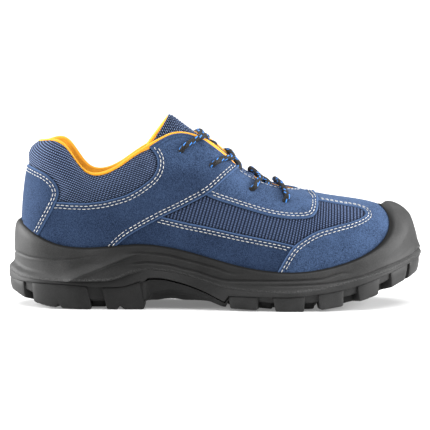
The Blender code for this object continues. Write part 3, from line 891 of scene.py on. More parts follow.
@dataclass(frozen=True)
class LaceBraid:
    """Round black braid with two blue yarns, its map once round and in millimetres along."""

    name: str = "lace_braid"
    black: Colour = (0.003, 0.003, 0.003)
    grey: Colour = (0.017, 0.016, 0.015)
    blue: Colour = (0.040, 0.220, 0.660)
    # Yarns each way, length of one turn, and length of a yarn's way over and under
    yarns: float = 8.0
    lay: float = 17.0
    over: float = 6.6
    # Each blue yarn's place round the braid and its shift along
    blues: Line = ((0.30, 0.0), (0.62, 0.5))
    fuzz_scale: float = 1900.0

    def make(self) -> Material:
        """Material with crossing yarns, the blue ones showing where they pass over."""
        shader = Shader(self.name)
        around, along = shader.flat_place()
        fuzz = shader.noise(shader.object_place(), self.fuzz_scale, 2)
        rising = around * self.yarns + along * (self.yarns / self.lay)
        falling = around * self.yarns - along * (self.yarns / self.lay)
        yarn = rising.wave() * 0.5 + falling.wave() * 0.5
        track = (around * 2.0 + along * (1.0 / self.lay)).fraction()
        flecks = 0.0
        for middle, shift in self.blues:
            band = 1 - (track - middle).size().ramp(0.045, 0.095)
            shows = (along / self.over + shift).wave().ramp(0.58, 0.72)
            flecks = band * shows + flecks
        black = shader.mix(self.black, self.grey, (yarn * 0.6 + fuzz * 0.6).ramp(0.35, 1.0))
        shader.set(base_color=shader.mix(black, self.blue, flecks * (0.7 + fuzz * 0.5)), roughness=0.7,
                   specular_ior_level=0.25)
        shader.bump(yarn * 0.7 + fuzz * 0.3, 0.3, 0.9)
        return shader.material


@dataclass(frozen=True)
class Footbed:
    """Dark grey felted footbed."""

    name: str = "grey_footbed"
    dark: Colour = (0.020, 0.021, 0.024)
    light: Colour = (0.070, 0.072, 0.080)
    felt_scale: float = 900.0

    def make(self) -> Material:
        """Material with felted fibres."""
        shader = Shader(self.name)
        felt = shader.noise(shader.object_place(), self.felt_scale, 4, 0.7)
        shader.set(base_color=shader.mix(self.dark, self.light, felt.ramp(0.3, 0.75)), roughness=0.95,
                   sheen_weight=0.2)
        shader.bump(felt, 0.3)
        return shader.material


@dataclass(frozen=True)
class PaleFloor:
    """Plain pale studio floor that glows a little, so that shadows stay pale."""

    name: str = "pale_floor"
    colour: Colour = (0.52, 0.52, 0.52)
    glow: float = 0.18

    def make(self) -> Material:
        """Matt material."""
        shader = Shader(self.name)
        shader.set(base_color=self.colour, roughness=0.95, specular_ior_level=0.1,
                   emission_color=(1.0, 1.0, 1.0), emission_strength=self.glow)
        return shader.material


class Run(NamedTuple):
    """Stretch of a panel's outline: spots that it passes, and its stitch rows' distances from it."""

    spots: Array
    rows: tuple[float, ...] = ()


@dataclass
class Panel:
    """Suede panel on the wall: a cut sheet with rounded edges, pressed in along its seams."""

    last: Last
    name: str
    runs: list[Run]
    under: list["Panel"] = field(default_factory=list)
    thickness: float = 1.3
    base: float = -0.9
    # How much of a panel underneath shows through, and how far from its edge the step sets in and ends
    lap: float = 0.8
    lap_ramp: Span = (-1.2, 1.6)
    # Distances between points when the outline is read and when it is kept, and between cuts of the flat
    reading: float = 0.5
    spacing: float = 2.2
    slices: float = 3.0
    mitre_limit: float = 0.3
    # Angles from which a corner is kept sharp, and beyond which it is drawn in no further
    corner_angles: Span = (0.2, 2.6)
    # Rings inside the cut edge, and the panel's height there as a share of its thickness
    rings: tuple[float, ...] = (0.0, 0.28, 0.8, 1.6, 2.4, 3.4, 4.4, 5.8)
    profile: tuple[float, ...] = (0.0, 0.72, 1.0, 1.08, 0.82, 1.0, 0.82, 1.0)
    # Painted light and shade on the panel: its tone below and above these heights, as the light falls on it
    nap_and_painted_light: Span = (1.0, 1.0)
    painted_light_heights: Span = (92.0, 109.0)

    def __post_init__(self) -> None:
        """Draws the outline on the wall, and keeps where each run starts."""
        drawn = [self.draw(run.spots) for run in self.runs]
        self.starts = np.cumsum([0] + [len(part) - 1 for part in drawn])
        self.outline = np.concatenate([part[:-1] for part in drawn])
        self.points = self.last.wall_point(*self.outline.T)
        flat = self.outline * CHART
        ahead = np.roll(flat, -1, 0)
        self.turn = np.sign(np.sum(flat[:, 0] * ahead[:, 1] - ahead[:, 0] * flat[:, 1]))

    def draw(self, spots: Array) -> Array:
        """Spots at even distances on the wall, on a smooth line through those given."""
        fine = spline(np.asarray(spots) * CHART, self.reading) / CHART
        run = travelled(self.last.wall_point(*fine.T))
        at = np.linspace(0, run[-1], max(2, round(run[-1] / self.spacing) + 1))
        return np.stack([np.interp(at, run, column) for column in fine.T], -1)

    def inset(self, distance: float) -> Array:
        """Outline moved into the panel along the wall, its sharp corners kept sharp.

        Args:
            distance: Distance from the cut edge.

        Returns:
            One spot for each of the outline's.
        """
        before = unit(self.points - np.roll(self.points, 1, 0))
        after = np.roll(before, -1, 0)
        normal = self.last.normal(*self.outline.T) * self.turn
        first, second = np.cross(normal, before), np.cross(normal, after)
        agree = np.sum(first * second, -1, keepdims=True)
        mitre = (first + second) / np.maximum(1 + agree, self.mitre_limit)
        slope = np.stack(self.last.slopes(*self.outline.T), -1)
        spots = self.outline + best_moves(slope, mitre * distance, 1e-6)
        run = travelled(closed(self.points))
        sharp, limit = self.corner_angles
        for corner in self.starts[:-1]:
            angle = math.acos(float(np.clip(agree[corner, 0], -1, 1)))
            bend = float(np.dot(np.cross(before[corner], after[corner]), normal[corner]))
            if bend > 0 and angle > sharp:
                away = np.abs(run[:-1] - run[corner])
                away = np.minimum(away, run[-1] - away)
                spots[away < distance * math.tan(min(angle, limit) / 2)] = spots[corner]
        return spots

    def near(self, spots: Array) -> Array:
        """Spots counted round the heel so that they are close to the panel's own sections."""
        centre = self.outline[:, 0].mean()
        section = spots[..., 0] - ROUND * np.round((spots[..., 0] - centre) / ROUND)
        return np.stack([section, spots[..., 1]], -1)

    def depth(self, spots: Array) -> Array:
        """How far spots lie inside the outline, along the wall.

        Args:
            spots: Spots, one to a row.

        Returns:
            Distances from the outline, negative outside it.
        """
        spots = self.near(spots)
        places = self.last.wall_point(*spots.T)
        tree = tree_of(self.points)
        away = np.array([tree.find(place)[2] for place in places])
        inside = np.zeros(len(spots), bool)
        for (x0, y0), (x1, y1) in zip(self.outline, np.roll(self.outline, -1, 0)):
            crosses = (y0 > spots[:, 1]) != (y1 > spots[:, 1])
            reach = x0 + (x1 - x0) * (spots[:, 1] - y0) / (y1 - y0 if y1 != y0 else 1.0)
            inside ^= crosses & (spots[:, 0] < reach)
        return np.where(inside, away, -away)

    def bed(self, spots: Array) -> Array:
        """Height of what the panel lies on."""
        heights = [np.zeros(len(spots))]
        for panel in self.under:
            heights.append(self.lap * panel.thickness * ease(*self.lap_ramp, panel.depth(spots)))
        return self.base + np.max(heights, axis=0)

    def build(self, dress: Dress) -> Piece:
        """Closed panel: cut edge, seam troughs, flat of the panel, and underside.

        Args:
            dress: Look of the suede.

        Returns:
            The panel.
        """
        rings = np.stack([self.inset(distance) for distance in self.rings], 1)
        flat = closed(np.concatenate([rings * CHART, np.zeros((*rings.shape[:2], 1))], -1))
        edge = np.broadcast_to(np.array(self.rings), flat.shape[:2])
        shape = loft(flat, marks={"edge": edge, "nap_and_painted_light": np.ones_like(edge)}, weld=1e-4)
        mark = shape.verts.layers.float["edge"]
        inside = shape.faces.layers.int.new("inside")
        inmost = self.rings[-1] - 0.01
        hem = [e for e in shape.edges if e.is_boundary and min(v[mark] for v in e.verts) > inmost]
        for face in bmesh.ops.edgeloop_fill(shape, edges=hem)["faces"]:
            face[inside] = 1
        self.slice(shape, inside)
        copy = bmesh.ops.duplicate(shape, geom=[*shape.verts, *shape.edges, *shape.faces])["geom"]
        below = {v for v in copy if isinstance(v, bmesh.types.BMVert)}
        bmesh.ops.reverse_faces(shape, faces=[f for f in copy if isinstance(f, bmesh.types.BMFace)])
        verts = list(shape.verts)
        spots = np.array([v.co[:2] for v in verts]) / CHART
        lies = np.array([v in below for v in verts])
        raised = np.interp([v[mark] for v in verts], self.rings, self.profile) * self.thickness
        height = self.bed(spots) + np.where(lies, 0.0, raised)
        points = self.last.place(*spots.T, height)
        # Painted light and shade: the corners' tone eases from the low to the high value with height
        low, high = self.nap_and_painted_light
        tones = low + (high - low) * ease(*self.painted_light_heights, points[:, 2])
        nap_and_painted_light = shape.verts.layers.float["nap_and_painted_light"]
        for v, point, tone in zip(verts, self.last.metres(points), tones):
            v.co = point
            v[nap_and_painted_light] = tone
        bmesh.ops.remove_doubles(shape, verts=shape.verts, dist=1e-6)
        bmesh.ops.recalc_face_normals(shape, faces=shape.faces)
        return dress.piece(shape, self.name)

    def slice(self, shape: Shape, inside: Any) -> None:
        """Cuts the flat of the panel into small faces along both chart directions."""
        for axis in (0, 1):
            reach = [v.co[axis] for v in shape.verts]
            for place in np.arange(min(reach) + self.slices, max(reach), self.slices):
                faces = [f for f in shape.faces if f[inside]]
                edges = {e for f in faces for e in f.edges}
                verts = {v for f in faces for v in f.verts}
                cut_across(shape, [*faces, *edges, *verts], axis, place, 0.05)

    def rows(self) -> list[tuple[float, Array]]:
        """Each stitch row as its distance from the cut edge and its spots."""
        found = []
        ring = list(range(len(self.outline))) + [0]
        for run, start, end in zip(self.runs, self.starts, self.starts[1:]):
            for distance in run.rows:
                found.append((distance, self.inset(distance)[ring[start:end + 1]]))
        return found

    def top(self, spots: Array, distance: float) -> Array:
        """Height of the panel's face at a distance from its cut edge."""
        return self.bed(spots) + self.thickness * float(np.interp(distance, self.rings, self.profile))


@dataclass
class Stitching:
    """Rows of thread on a panel, each stitch a short bead with sunk ends."""

    last: Last
    pitch: float = 3.45
    length: float = 2.65
    width: float = 0.57
    height: float = 0.70
    segments: int = 6
    # How far a stitch lies over the suede, and the gaps kept to the sole, as a share, and to a panel above
    proud: float = 0.12
    sole_gap: float = 0.004
    cover_gap: float = 1.2

    def build(self, panel: Panel, covers: list[Panel], dress: Dress) -> Piece:
        """All stitches of a panel that nothing covers.

        Args:
            panel: The panel that is sewn down.
            covers: Panels that lie on it.
            dress: Look of the thread.

        Returns:
            The thread as one piece.
        """
        shape = bmesh.new()
        for distance, spots in panel.rows():
            self.row(shape, panel, covers, distance, spots)
        return dress.piece(shape, "thread_" + panel.name)

    def row(self, shape: Shape, panel: Panel, covers: list[Panel], distance: float,
            spots: Array) -> None:
        """Adds one row of stitches to a mesh.

        Args:
            shape: Mesh that takes the stitches.
            panel: The panel that is sewn down.
            covers: Panels that lie on it.
            distance: Distance of the row from the cut edge.
            spots: Course of the row.
        """
        run = travelled(self.last.wall_point(*spots.T))
        middles = np.arange(self.pitch / 2, run[-1] - self.pitch / 2, self.pitch)
        if len(middles) == 0:
            return
        middle, start, end = (
            np.stack([np.interp(middles + shift, run, column) for column in spots.T], -1)
            for shift in (0.0, -self.length / 2, self.length / 2))
        hidden = middle[:, 1] < self.last.cover_share(middle[:, 0]) + self.sole_gap
        for cover in covers:
            hidden |= cover.depth(middle) > -self.cover_gap
        heights = panel.top(middle, distance) + self.proud
        centres, starts, ends = (self.last.place(*s.T, heights) for s in (middle, start, end))
        normals = self.last.normal(*middle.T)
        for i in np.flatnonzero(~hidden):
            along = Vector(unit(ends[i] - starts[i]))
            across = Vector(normals[i]).cross(along).normalized()
            turn = Matrix((across * self.width, Vector(normals[i]) * self.height, along * self.length))
            matrix = Matrix.Translation(self.last.metres(centres[i])) @ (turn.transposed() * MM).to_4x4()
            bmesh.ops.create_uvsphere(shape, u_segments=self.segments, v_segments=self.segments,
                                      radius=0.5, matrix=matrix)


@dataclass
class Upper:
    """Cut of the suede panels, and the lining with its rolled edge."""

    last: Last
    hem: float = 0.30
    flap_corner: float = 6.88
    quarter_back: float = 0.5
    foxing_back: float = 3.0
    # Outlines in the side view: along the shoe and seen height
    counter_edge: Line = (
        (-131.0, 103.4), (-123.1, 99.0), (-118.4, 94.9), (-115.5, 90.2), (-114.5, 86.0), (-115.8, 80.6),
        (-118.7, 73.5), (-123.1, 65.5), (-127.2, 57.9), (-130.0, 52.6), (-132.4, 47.6))
    counter_top: float = 102.5
    collar_line: Line = (
        (-119.5, 79.2), (-115.1, 79.3), (-108.5, 78.8), (-97.9, 78.4), (-86.7, 79.2), (-75.5, 81.4),
        (-64.3, 84.9), (-53.0, 91.6), (-45.5, 98.2), (-42.5, 104.5), (-42.5, 110.9), (-45.1, 116.0),
        (-49.3, 118.8))
    quarter_front: Line = (
        (9.8, 98.0), (-4.2, 85.8), (-22.9, 75.5), (-41.6, 66.5), (-55.7, 59.0),
        (-64.5, 53.6), (-70.4, 48.7), (-74.2, 44.6), (-77.0, 41.0))
    eyestay_edge: Line = (
        (-13.9, 88.0), (-2.3, 82.1), (14.5, 76.5), (33.2, 70.9), (47.2, 67.8), (60.8, 66.8), (67.4, 67.3),
        (71.6, 68.6), (74.2, 71.2), (75.7, 75.3), (76.0, 79.5))
    eyestay_front: float = 72.6
    eyestay_rear: float = 0.55
    foxing_edge: Line = (
        (-55.0, 72.6), (-38.8, 68.2), (-22.9, 64.4), (-4.2, 60.6), (14.5, 56.4), (33.2, 52.6),
        (47.2, 49.8), (59.4, 46.9), (71.1, 44.0))
    toe_edge: Line = (
        (42.2, 21.5), (44.0, 24.6), (46.4, 28.6), (51.3, 37.4), (57.2, 46.0), (64.5, 52.0), (75.5, 58.1),
        (87.7, 61.7), (101.2, 65.4), (108.0, 68.4), (110.4, 70.9), (109.2, 73.3), (104.7, 75.4), (93.8, 77.4),
        (84.1, 79.2), (76.7, 80.4), (68.0, 81.8))
    strip_end: float = 66.0
    # Painted light and shade on each panel's suede, low down and high up
    panel_painted_light: dict[str, Span] = field(default_factory=lambda: {
        "foxing": (0.56, 0.56), "toe": (1.24, 1.26), "eyestay": (1.26, 1.32), "quarter": (0.64, 1.20),
        "heel": (0.63, 0.72)})
    # The lining's start as a part of the sole's cover, its depth behind the suede, and how far under the
    # edge it turns into the binding
    lining_foot: float = 0.1
    lining_depth: float = 1.3
    binding_start: float = 0.03
    # Sections from the heel where the collar ends, the flap's front begins and the throat begins
    collar_end: Span = (4.5, 5.1)
    front_start: Span = (5.7, 6.4)
    throat_start: Span = (6.72, 7.0)
    # How far the binding stands out and up: everywhere, and more or less at the collar, front and throat
    binding_proud: tuple[float, float, float, float] = (0.55, 0.25, 0.85, -2.2)
    binding_rise: tuple[float, float, float, float] = (1.3, 0.6, 4.8, -5.5)
    binding_turn: Span = (-25.0, 130.0)
    binding_sink: float = 0.004
    # Rows of the lining outside, on the binding and inside, and the share of its height where the last start
    lining_rows: tuple[int, int, int] = (9, 12, 26)
    inside_top: float = 0.96
    # Points on a hidden edge, on a section of the hem, along the flap and round the throat
    join_points: int = 5
    hem_points: int = 4
    flap_points: int = 15
    throat_points: int = 60

    def join(self, first: Array, second: Array) -> Run:
        """Straight hidden edge between two spots."""
        return Run(np.linspace(first, second, self.join_points))

    def hidden(self, end: Array, start: Array, until: float | None = None) -> list[Run]:
        """Runs inside the sole's lip that close an outline: down, along the hem and up again.

        Args:
            end: Spot where the seen part of the outline ends.
            start: Spot where it starts.
            until: Section where the hem ends, or None for that of the start.

        Returns:
            The three runs.
        """
        until = start[0] if until is None else until
        sections = np.linspace(end[0], until, max(3, int(abs(until - end[0]) * self.hem_points)))
        hem = np.stack([sections, self.last.cover_share(sections, self.hem)], -1)
        return [self.join(end, hem[0]), Run(hem), self.join(hem[-1], start)]

    def panel(self, name: str, runs: list[Run], under: list[Panel]) -> Panel:
        """Panel of these runs, each one starting where the one before ended."""
        return Panel(self.last, name, runs, under, nap_and_painted_light=self.panel_painted_light[name.split("_")[0]])

    def trim(self, spots: Array) -> Array:
        """Last part of an outline cut off where it goes under the hem."""
        keep = spots[:, 1] > self.last.cover_share(spots[:, 0], self.hem)
        return spots[keep]

    def foxing(self, side: Side) -> Panel:
        """Low panel along the side, between quarter and toe."""
        top = side.spots(self.last.spots_seen(self.foxing_edge))
        runs = [Run(top, DOUBLE), *self.hidden(top[-1], top[0], side.section(self.foxing_back))]
        return self.panel("foxing_" + side.value, runs, [])

    def quarter(self, side: Side, under: list[Panel]) -> Panel:
        """Back panel that ends in the flap, from the heel counter to the front edge.

        Args:
            side: Side of the foot.
            under: Panels that it lies on.

        Returns:
            The panel.
        """
        top = self.last.spots_seen(self.collar_line)
        top[-1, 1] = self.last.rim_share(top[-1, 0])
        top = side.spots(np.concatenate([[(self.quarter_back, top[0, 1])], top]))
        corner = np.array([(self.flap_corner, self.last.rim_share(self.flap_corner))])
        front = np.concatenate([corner, self.trim(self.last.spots_seen(self.quarter_front))])
        front = side.spots(front)
        flap = np.linspace(top[-1, 0], front[0, 0], self.flap_points)
        flap = np.stack([flap, self.last.rim_share(flap)], -1)
        return self.panel("quarter_" + side.value, [
            Run(top, DOUBLE), Run(flap), Run(front, DOUBLE), *self.hidden(front[-1], top[0])], under)

    def both(self, spots: Array, middle: Array, turn: float) -> Array:
        """Outline from the side that is given, over a middle spot, to the facing side."""
        other = np.stack([turn - spots[:, 0], spots[:, 1]], -1)
        return np.concatenate([spots, middle[None], other[::-1]])

    def counter(self, under: list[Panel]) -> Panel:
        """Patch round the heel."""
        edge = self.trim(self.last.spots_seen(self.counter_edge))[::-1]
        top = self.both(edge, np.array((0.0, self.last.heel_share(self.counter_top))), 0.0)
        return self.panel("heel_counter", [Run(top, DOUBLE), *self.hidden(top[-1], top[0])], under)

    def toe(self, under: list[Panel]) -> Panel:
        """Toe panel with the strip along the middle of the vamp."""
        edge = self.trim(self.last.spots_seen(self.toe_edge)[::-1])[::-1]
        other = Side.INNER.spots(edge)[::-1]
        back = np.array((edge[-1], (TOE, self.last.ridge_share(self.strip_end)), other[0]))
        return self.panel("toe_panel", [
            Run(edge, DOUBLE), Run(back), Run(other, DOUBLE), *self.hidden(other[-1], edge[0])], under)

    def eyestay(self, under: list[Panel]) -> Panel:
        """Panel round the throat that carries the lace holes.

        Args:
            under: Panels that it lies on.

        Returns:
            The panel.
        """
        edge = self.last.spots_seen(self.eyestay_edge)
        front = np.array((TOE, self.last.ridge_share(self.eyestay_front)))
        low = self.both(edge, front, ROUND)
        rear = edge[0, 0] + self.eyestay_rear
        sections = np.linspace(ROUND - rear, rear, self.throat_points)
        throat = np.stack([sections, self.last.rim_share(sections)], -1)
        return self.panel("eyestay", [
            Run(low, DOUBLE), self.join(low[-1], throat[0]), Run(throat, SINGLE),
            self.join(throat[-1], low[0])], under)

    def panels(self) -> list[Panel]:
        """All suede panels, those underneath first."""
        foxings = [self.foxing(side) for side in Side]
        toe = self.toe(foxings)
        eyestay = self.eyestay([toe])
        quarters = [self.quarter(side, [foxing, eyestay]) for side, foxing in zip(Side, foxings)]
        return [*foxings, toe, eyestay, *quarters, self.counter(quarters)]

    def lining(self, dress: Dress, columns: int = 308) -> Piece:
        """Inner wall from the footbed up, rolled over the opening's edge as its binding.

        Args:
            dress: Look of the lining.
            columns: Number of columns round the shoe.

        Returns:
            The closed wall.
        """
        last = self.last
        ring = np.linspace(0, ROUND, columns + 1)
        back = from_heel(ring)
        outside, turned, inside = self.lining_rows
        low = last.cover_share(ring, self.lining_foot)
        rim = last.rim_share(ring)
        rows = [last.place(ring, low + (rim - self.binding_start - low) * part, -self.lining_depth)
                for part in np.linspace(0, 1, outside)]
        edge, normal = last.wall_point(ring, rim - self.binding_sink), last.normal(ring, rim)
        upward = unit(last.slopes(ring, rim)[1])
        thick = last.thickness(ring, rim)
        zones = np.array((np.ones_like(ring), 1 - ease(*self.collar_end, back),
                          ease(*self.front_start, back), ease(*self.throat_start, back)))
        proud, rise = np.array(self.binding_proud) @ zones, np.array(self.binding_rise) @ zones
        half = (thick + proud) / 2
        centre = edge + normal * (proud - half)[:, None]
        for angle in np.radians(np.linspace(*self.binding_turn, turned)):
            rows.append(centre + normal * (half * math.cos(angle))[:, None]
                        + upward * (rise * math.sin(angle))[:, None])
        for part in np.linspace(self.inside_top, 0, inside):
            inner = low + (rim - low) * part
            rows.append(last.place(ring, inner, -last.thickness(ring, inner)))
        points = np.stack([*rows, rows[0]], 1)
        climb = travelled(points, 1)
        around = np.broadcast_to(ring[:, None] * CHART[0], climb.shape)
        shape = loft(last.metres(points), np.stack([around, climb], -1))
        bmesh.ops.recalc_face_normals(shape, faces=shape.faces)
        return dress.piece(shape, "lining")


@dataclass
class MeshWindows:
    """Ribbed mesh that shows in the windows of the suede: padded collar, and vamp on both sides."""

    last: Last
    collar_pitch: float = 1.65
    vamp_pitch: float = 2.5
    hole_pitch: float = 1.8
    # Width of the painted shade on the mesh along the suede's edge
    edge_shade: float = 1.8
    # How strongly the ribs show at the back and front of the vamp, the places where that changes, and those
    # where the collar's full strength takes over
    deep: Span = (0.75, 1.35)
    deep_places: Span = (35.0, 95.0)
    collar_places: Span = (-40.0, -70.0)
    relief: float = 0.40
    collar_relief: float = 0.7
    base: float = -0.7
    back: float = -1.2
    # The collar's last section, its columns and rows, and its lower and upper edge as shares
    collar_reach: float = 5.3
    collar_grid: tuple[int, int] = (370, 124)
    collar_low: float = 0.34
    collar_climb: float = 0.48
    climb_sections: Span = (3.0, 5.2)
    collar_high: float = 0.985
    # The padding's swelling, how far from the seam and from the edge it is full, and its part at the edge
    puff: float = 2.3
    seam_swell: float = 9.0
    edge_swell: float = 8.0
    edge_part: float = 0.35
    collar_slant: float = 0.33
    slant_round: float = 10.0
    # The forefoot's middle, across and up, and the radius at which angles round it count as millimetres
    forefoot: Span = (4.0, 30.0)
    forefoot_radius: float = 45.0
    # The vamp's columns and rows, its ends, and its lower and upper edge round the forefoot's middle
    vamp_grid: tuple[int, int] = (350, 64)
    vamp_ends: Span = (-72.0, 113.0)
    vamp_low: float = 6.0
    vamp_high: float = 45.0
    vamp_climb: float = 20.0
    climb_places: Span = (35.0, 70.0)
    vamp_slant: float = 0.30
    slant_loss: float = 0.85
    slant_places: Span = (45.0, 95.0)

    def covered(self, spots: Array, panels: Sequence[Panel]) -> Array:
        """Depth of spots under the suede, negative in the window, by column and row."""
        flat = spots.reshape(-1, 2)
        return np.max([panel.depth(flat) for panel in panels], axis=0).reshape(spots.shape[:2])

    def sheet(self, spots: Array, uv: Array, cover: Array, height: Array | float, dress: Dress, name: str,
              relief: float = 1.0) -> Piece:
        """Closed sheet with a ribbed face and a plain back.

        Args:
            spots: Spots on the wall by column and row.
            uv: Ribs across and holes along, by column and row.
            cover: Depth under the suede, negative in the window, by column and row.
            height: Height of the face over the wall.
            dress: Look of the mesh.
            name: Name of the piece.
            relief: Share of the ribs' relief.

        Returns:
            The piece.
        """
        section, share = np.moveaxis(spots, -1, 0)
        ribs = relief * self.relief * 0.5 * np.cos(uv[..., 0] * math.tau)
        face = self.last.place(section, share, height + ribs)
        both = wrapped(face, self.last.place(section, share, self.back))
        # Painted shade of the mesh next to the suede's edge, full under it
        painted_shade = 1 - ease(0.0, self.edge_shade, -cover)
        low, high = self.deep
        deep = low + (high - low) * ease(*self.deep_places, both[..., 0])
        deep = np.maximum(deep, ease(*self.collar_places, both[..., 0]))
        shape = loft(self.last.metres(both), wrapped(uv, uv), {"painted_shade": wrapped(painted_shade, painted_shade), "deep": deep})
        seal(shape)
        return dress.piece(shape, name)

    def collar(self, quarters: list[Panel], counter: Panel, dress: Dress) -> Piece:
        """Padded band round the collar, swelling between its seam and the binding.

        Args:
            quarters: Panels below it.
            counter: Patch round the heel.
            dress: Look of the mesh.

        Returns:
            The band.
        """
        columns, rows = self.collar_grid
        sections = np.linspace(-self.collar_reach, self.collar_reach, columns)
        low = (self.collar_low + self.collar_climb * ease(*self.climb_sections, np.abs(sections)))[:, None]
        shares = low + (self.collar_high - low) * np.linspace(0, 1, rows)
        spots = np.stack(np.broadcast_arrays(sections[:, None], shares), -1)
        wall = self.last.wall_point(spots[..., 0], spots[..., 1])
        cover = self.covered(spots, (*quarters, counter))
        edge = self.last.wall_point(sections, np.full(columns, self.collar_high))
        from_edge = np.linalg.norm(wall - edge[:, None], axis=2)
        at_edge = self.edge_part + (1 - self.edge_part) * ease(0.0, self.edge_swell, from_edge)
        swell = ease(0.0, self.seam_swell, -cover) * at_edge
        along = travelled(wall[:, rows // 2])
        along = np.broadcast_to((along - along[columns // 2])[:, None], shares.shape)
        slope = self.collar_slant * (np.hypot(along, self.slant_round) - self.slant_round)
        uv = np.stack([(wall[..., 2] + slope) / self.collar_pitch, along / self.hole_pitch], -1)
        height = self.base + self.puff * swell
        piece = self.sheet(spots, uv, cover, height, dress, "collar_mesh", self.collar_relief)
        return piece

    def turn_about(self, points: Array) -> Array:
        """Place along the shoe and angle round the forefoot's middle, both as millimetres."""
        x, y, z = np.moveaxis(points, -1, 0)
        across, up = self.forefoot
        angle = np.arctan2(z - up, across - y)
        slant = self.vamp_slant * (1 - self.slant_loss * ease(*self.slant_places, x))
        return np.stack([x + slant * (up - z), self.forefoot_radius * angle], -1)

    def vamp(self, side: Side, panels: list[Panel], dress: Dress) -> Piece:
        """Mesh of one side of the vamp, with its ribs across the shoe.

        Args:
            side: Side of the foot.
            panels: Panels round the window.
            dress: Look of the mesh.

        Returns:
            The mesh.
        """
        columns, rows = self.vamp_grid
        along = np.linspace(*self.vamp_ends, columns)
        top = self.vamp_high + self.vamp_climb * ease(*self.climb_places, along)
        angle = self.vamp_low + (top - self.vamp_low)[:, None] * np.linspace(0, 1, rows)
        wanted = np.stack(np.broadcast_arrays(along[:, None], angle), -1)
        found = self.last.find(self.turn_about, wanted.reshape(-1, 2)).reshape(wanted.shape)
        spots = side.spots(found)
        wall = self.last.wall_point(spots[..., 0], spots[..., 1])
        uv = np.stack([wanted[..., 0] / self.vamp_pitch, travelled(wall, 1) / self.hole_pitch], -1)
        cover = self.covered(spots, panels)
        return self.sheet(spots, uv, cover, self.base, dress, "vamp_mesh_" + side.value)


class Groove(NamedTuple):
    """Line moulded into the sole's side, by its course in the side view."""

    course: Line
    depth: float
    width: float
    fade: Span

    def press(self, x: Array, z: Array) -> Array:
        """How far the line moves the skin, outwards positive."""
        line = smooth_table(self.course, x)
        lean = (smooth_table(self.course, x + 1) - smooth_table(self.course, x - 1)) / 2
        away = (z - line) / np.hypot(1, lean)
        start, end = self.fade
        ends = ease(-start, start, x - self.course[0][0]) if start else 1.0
        ends = ends * (1 - ease(-end, end, x - self.course[-1][0])) if end else ends
        return -self.depth * np.exp(-((away / self.width) ** 2)) * ends


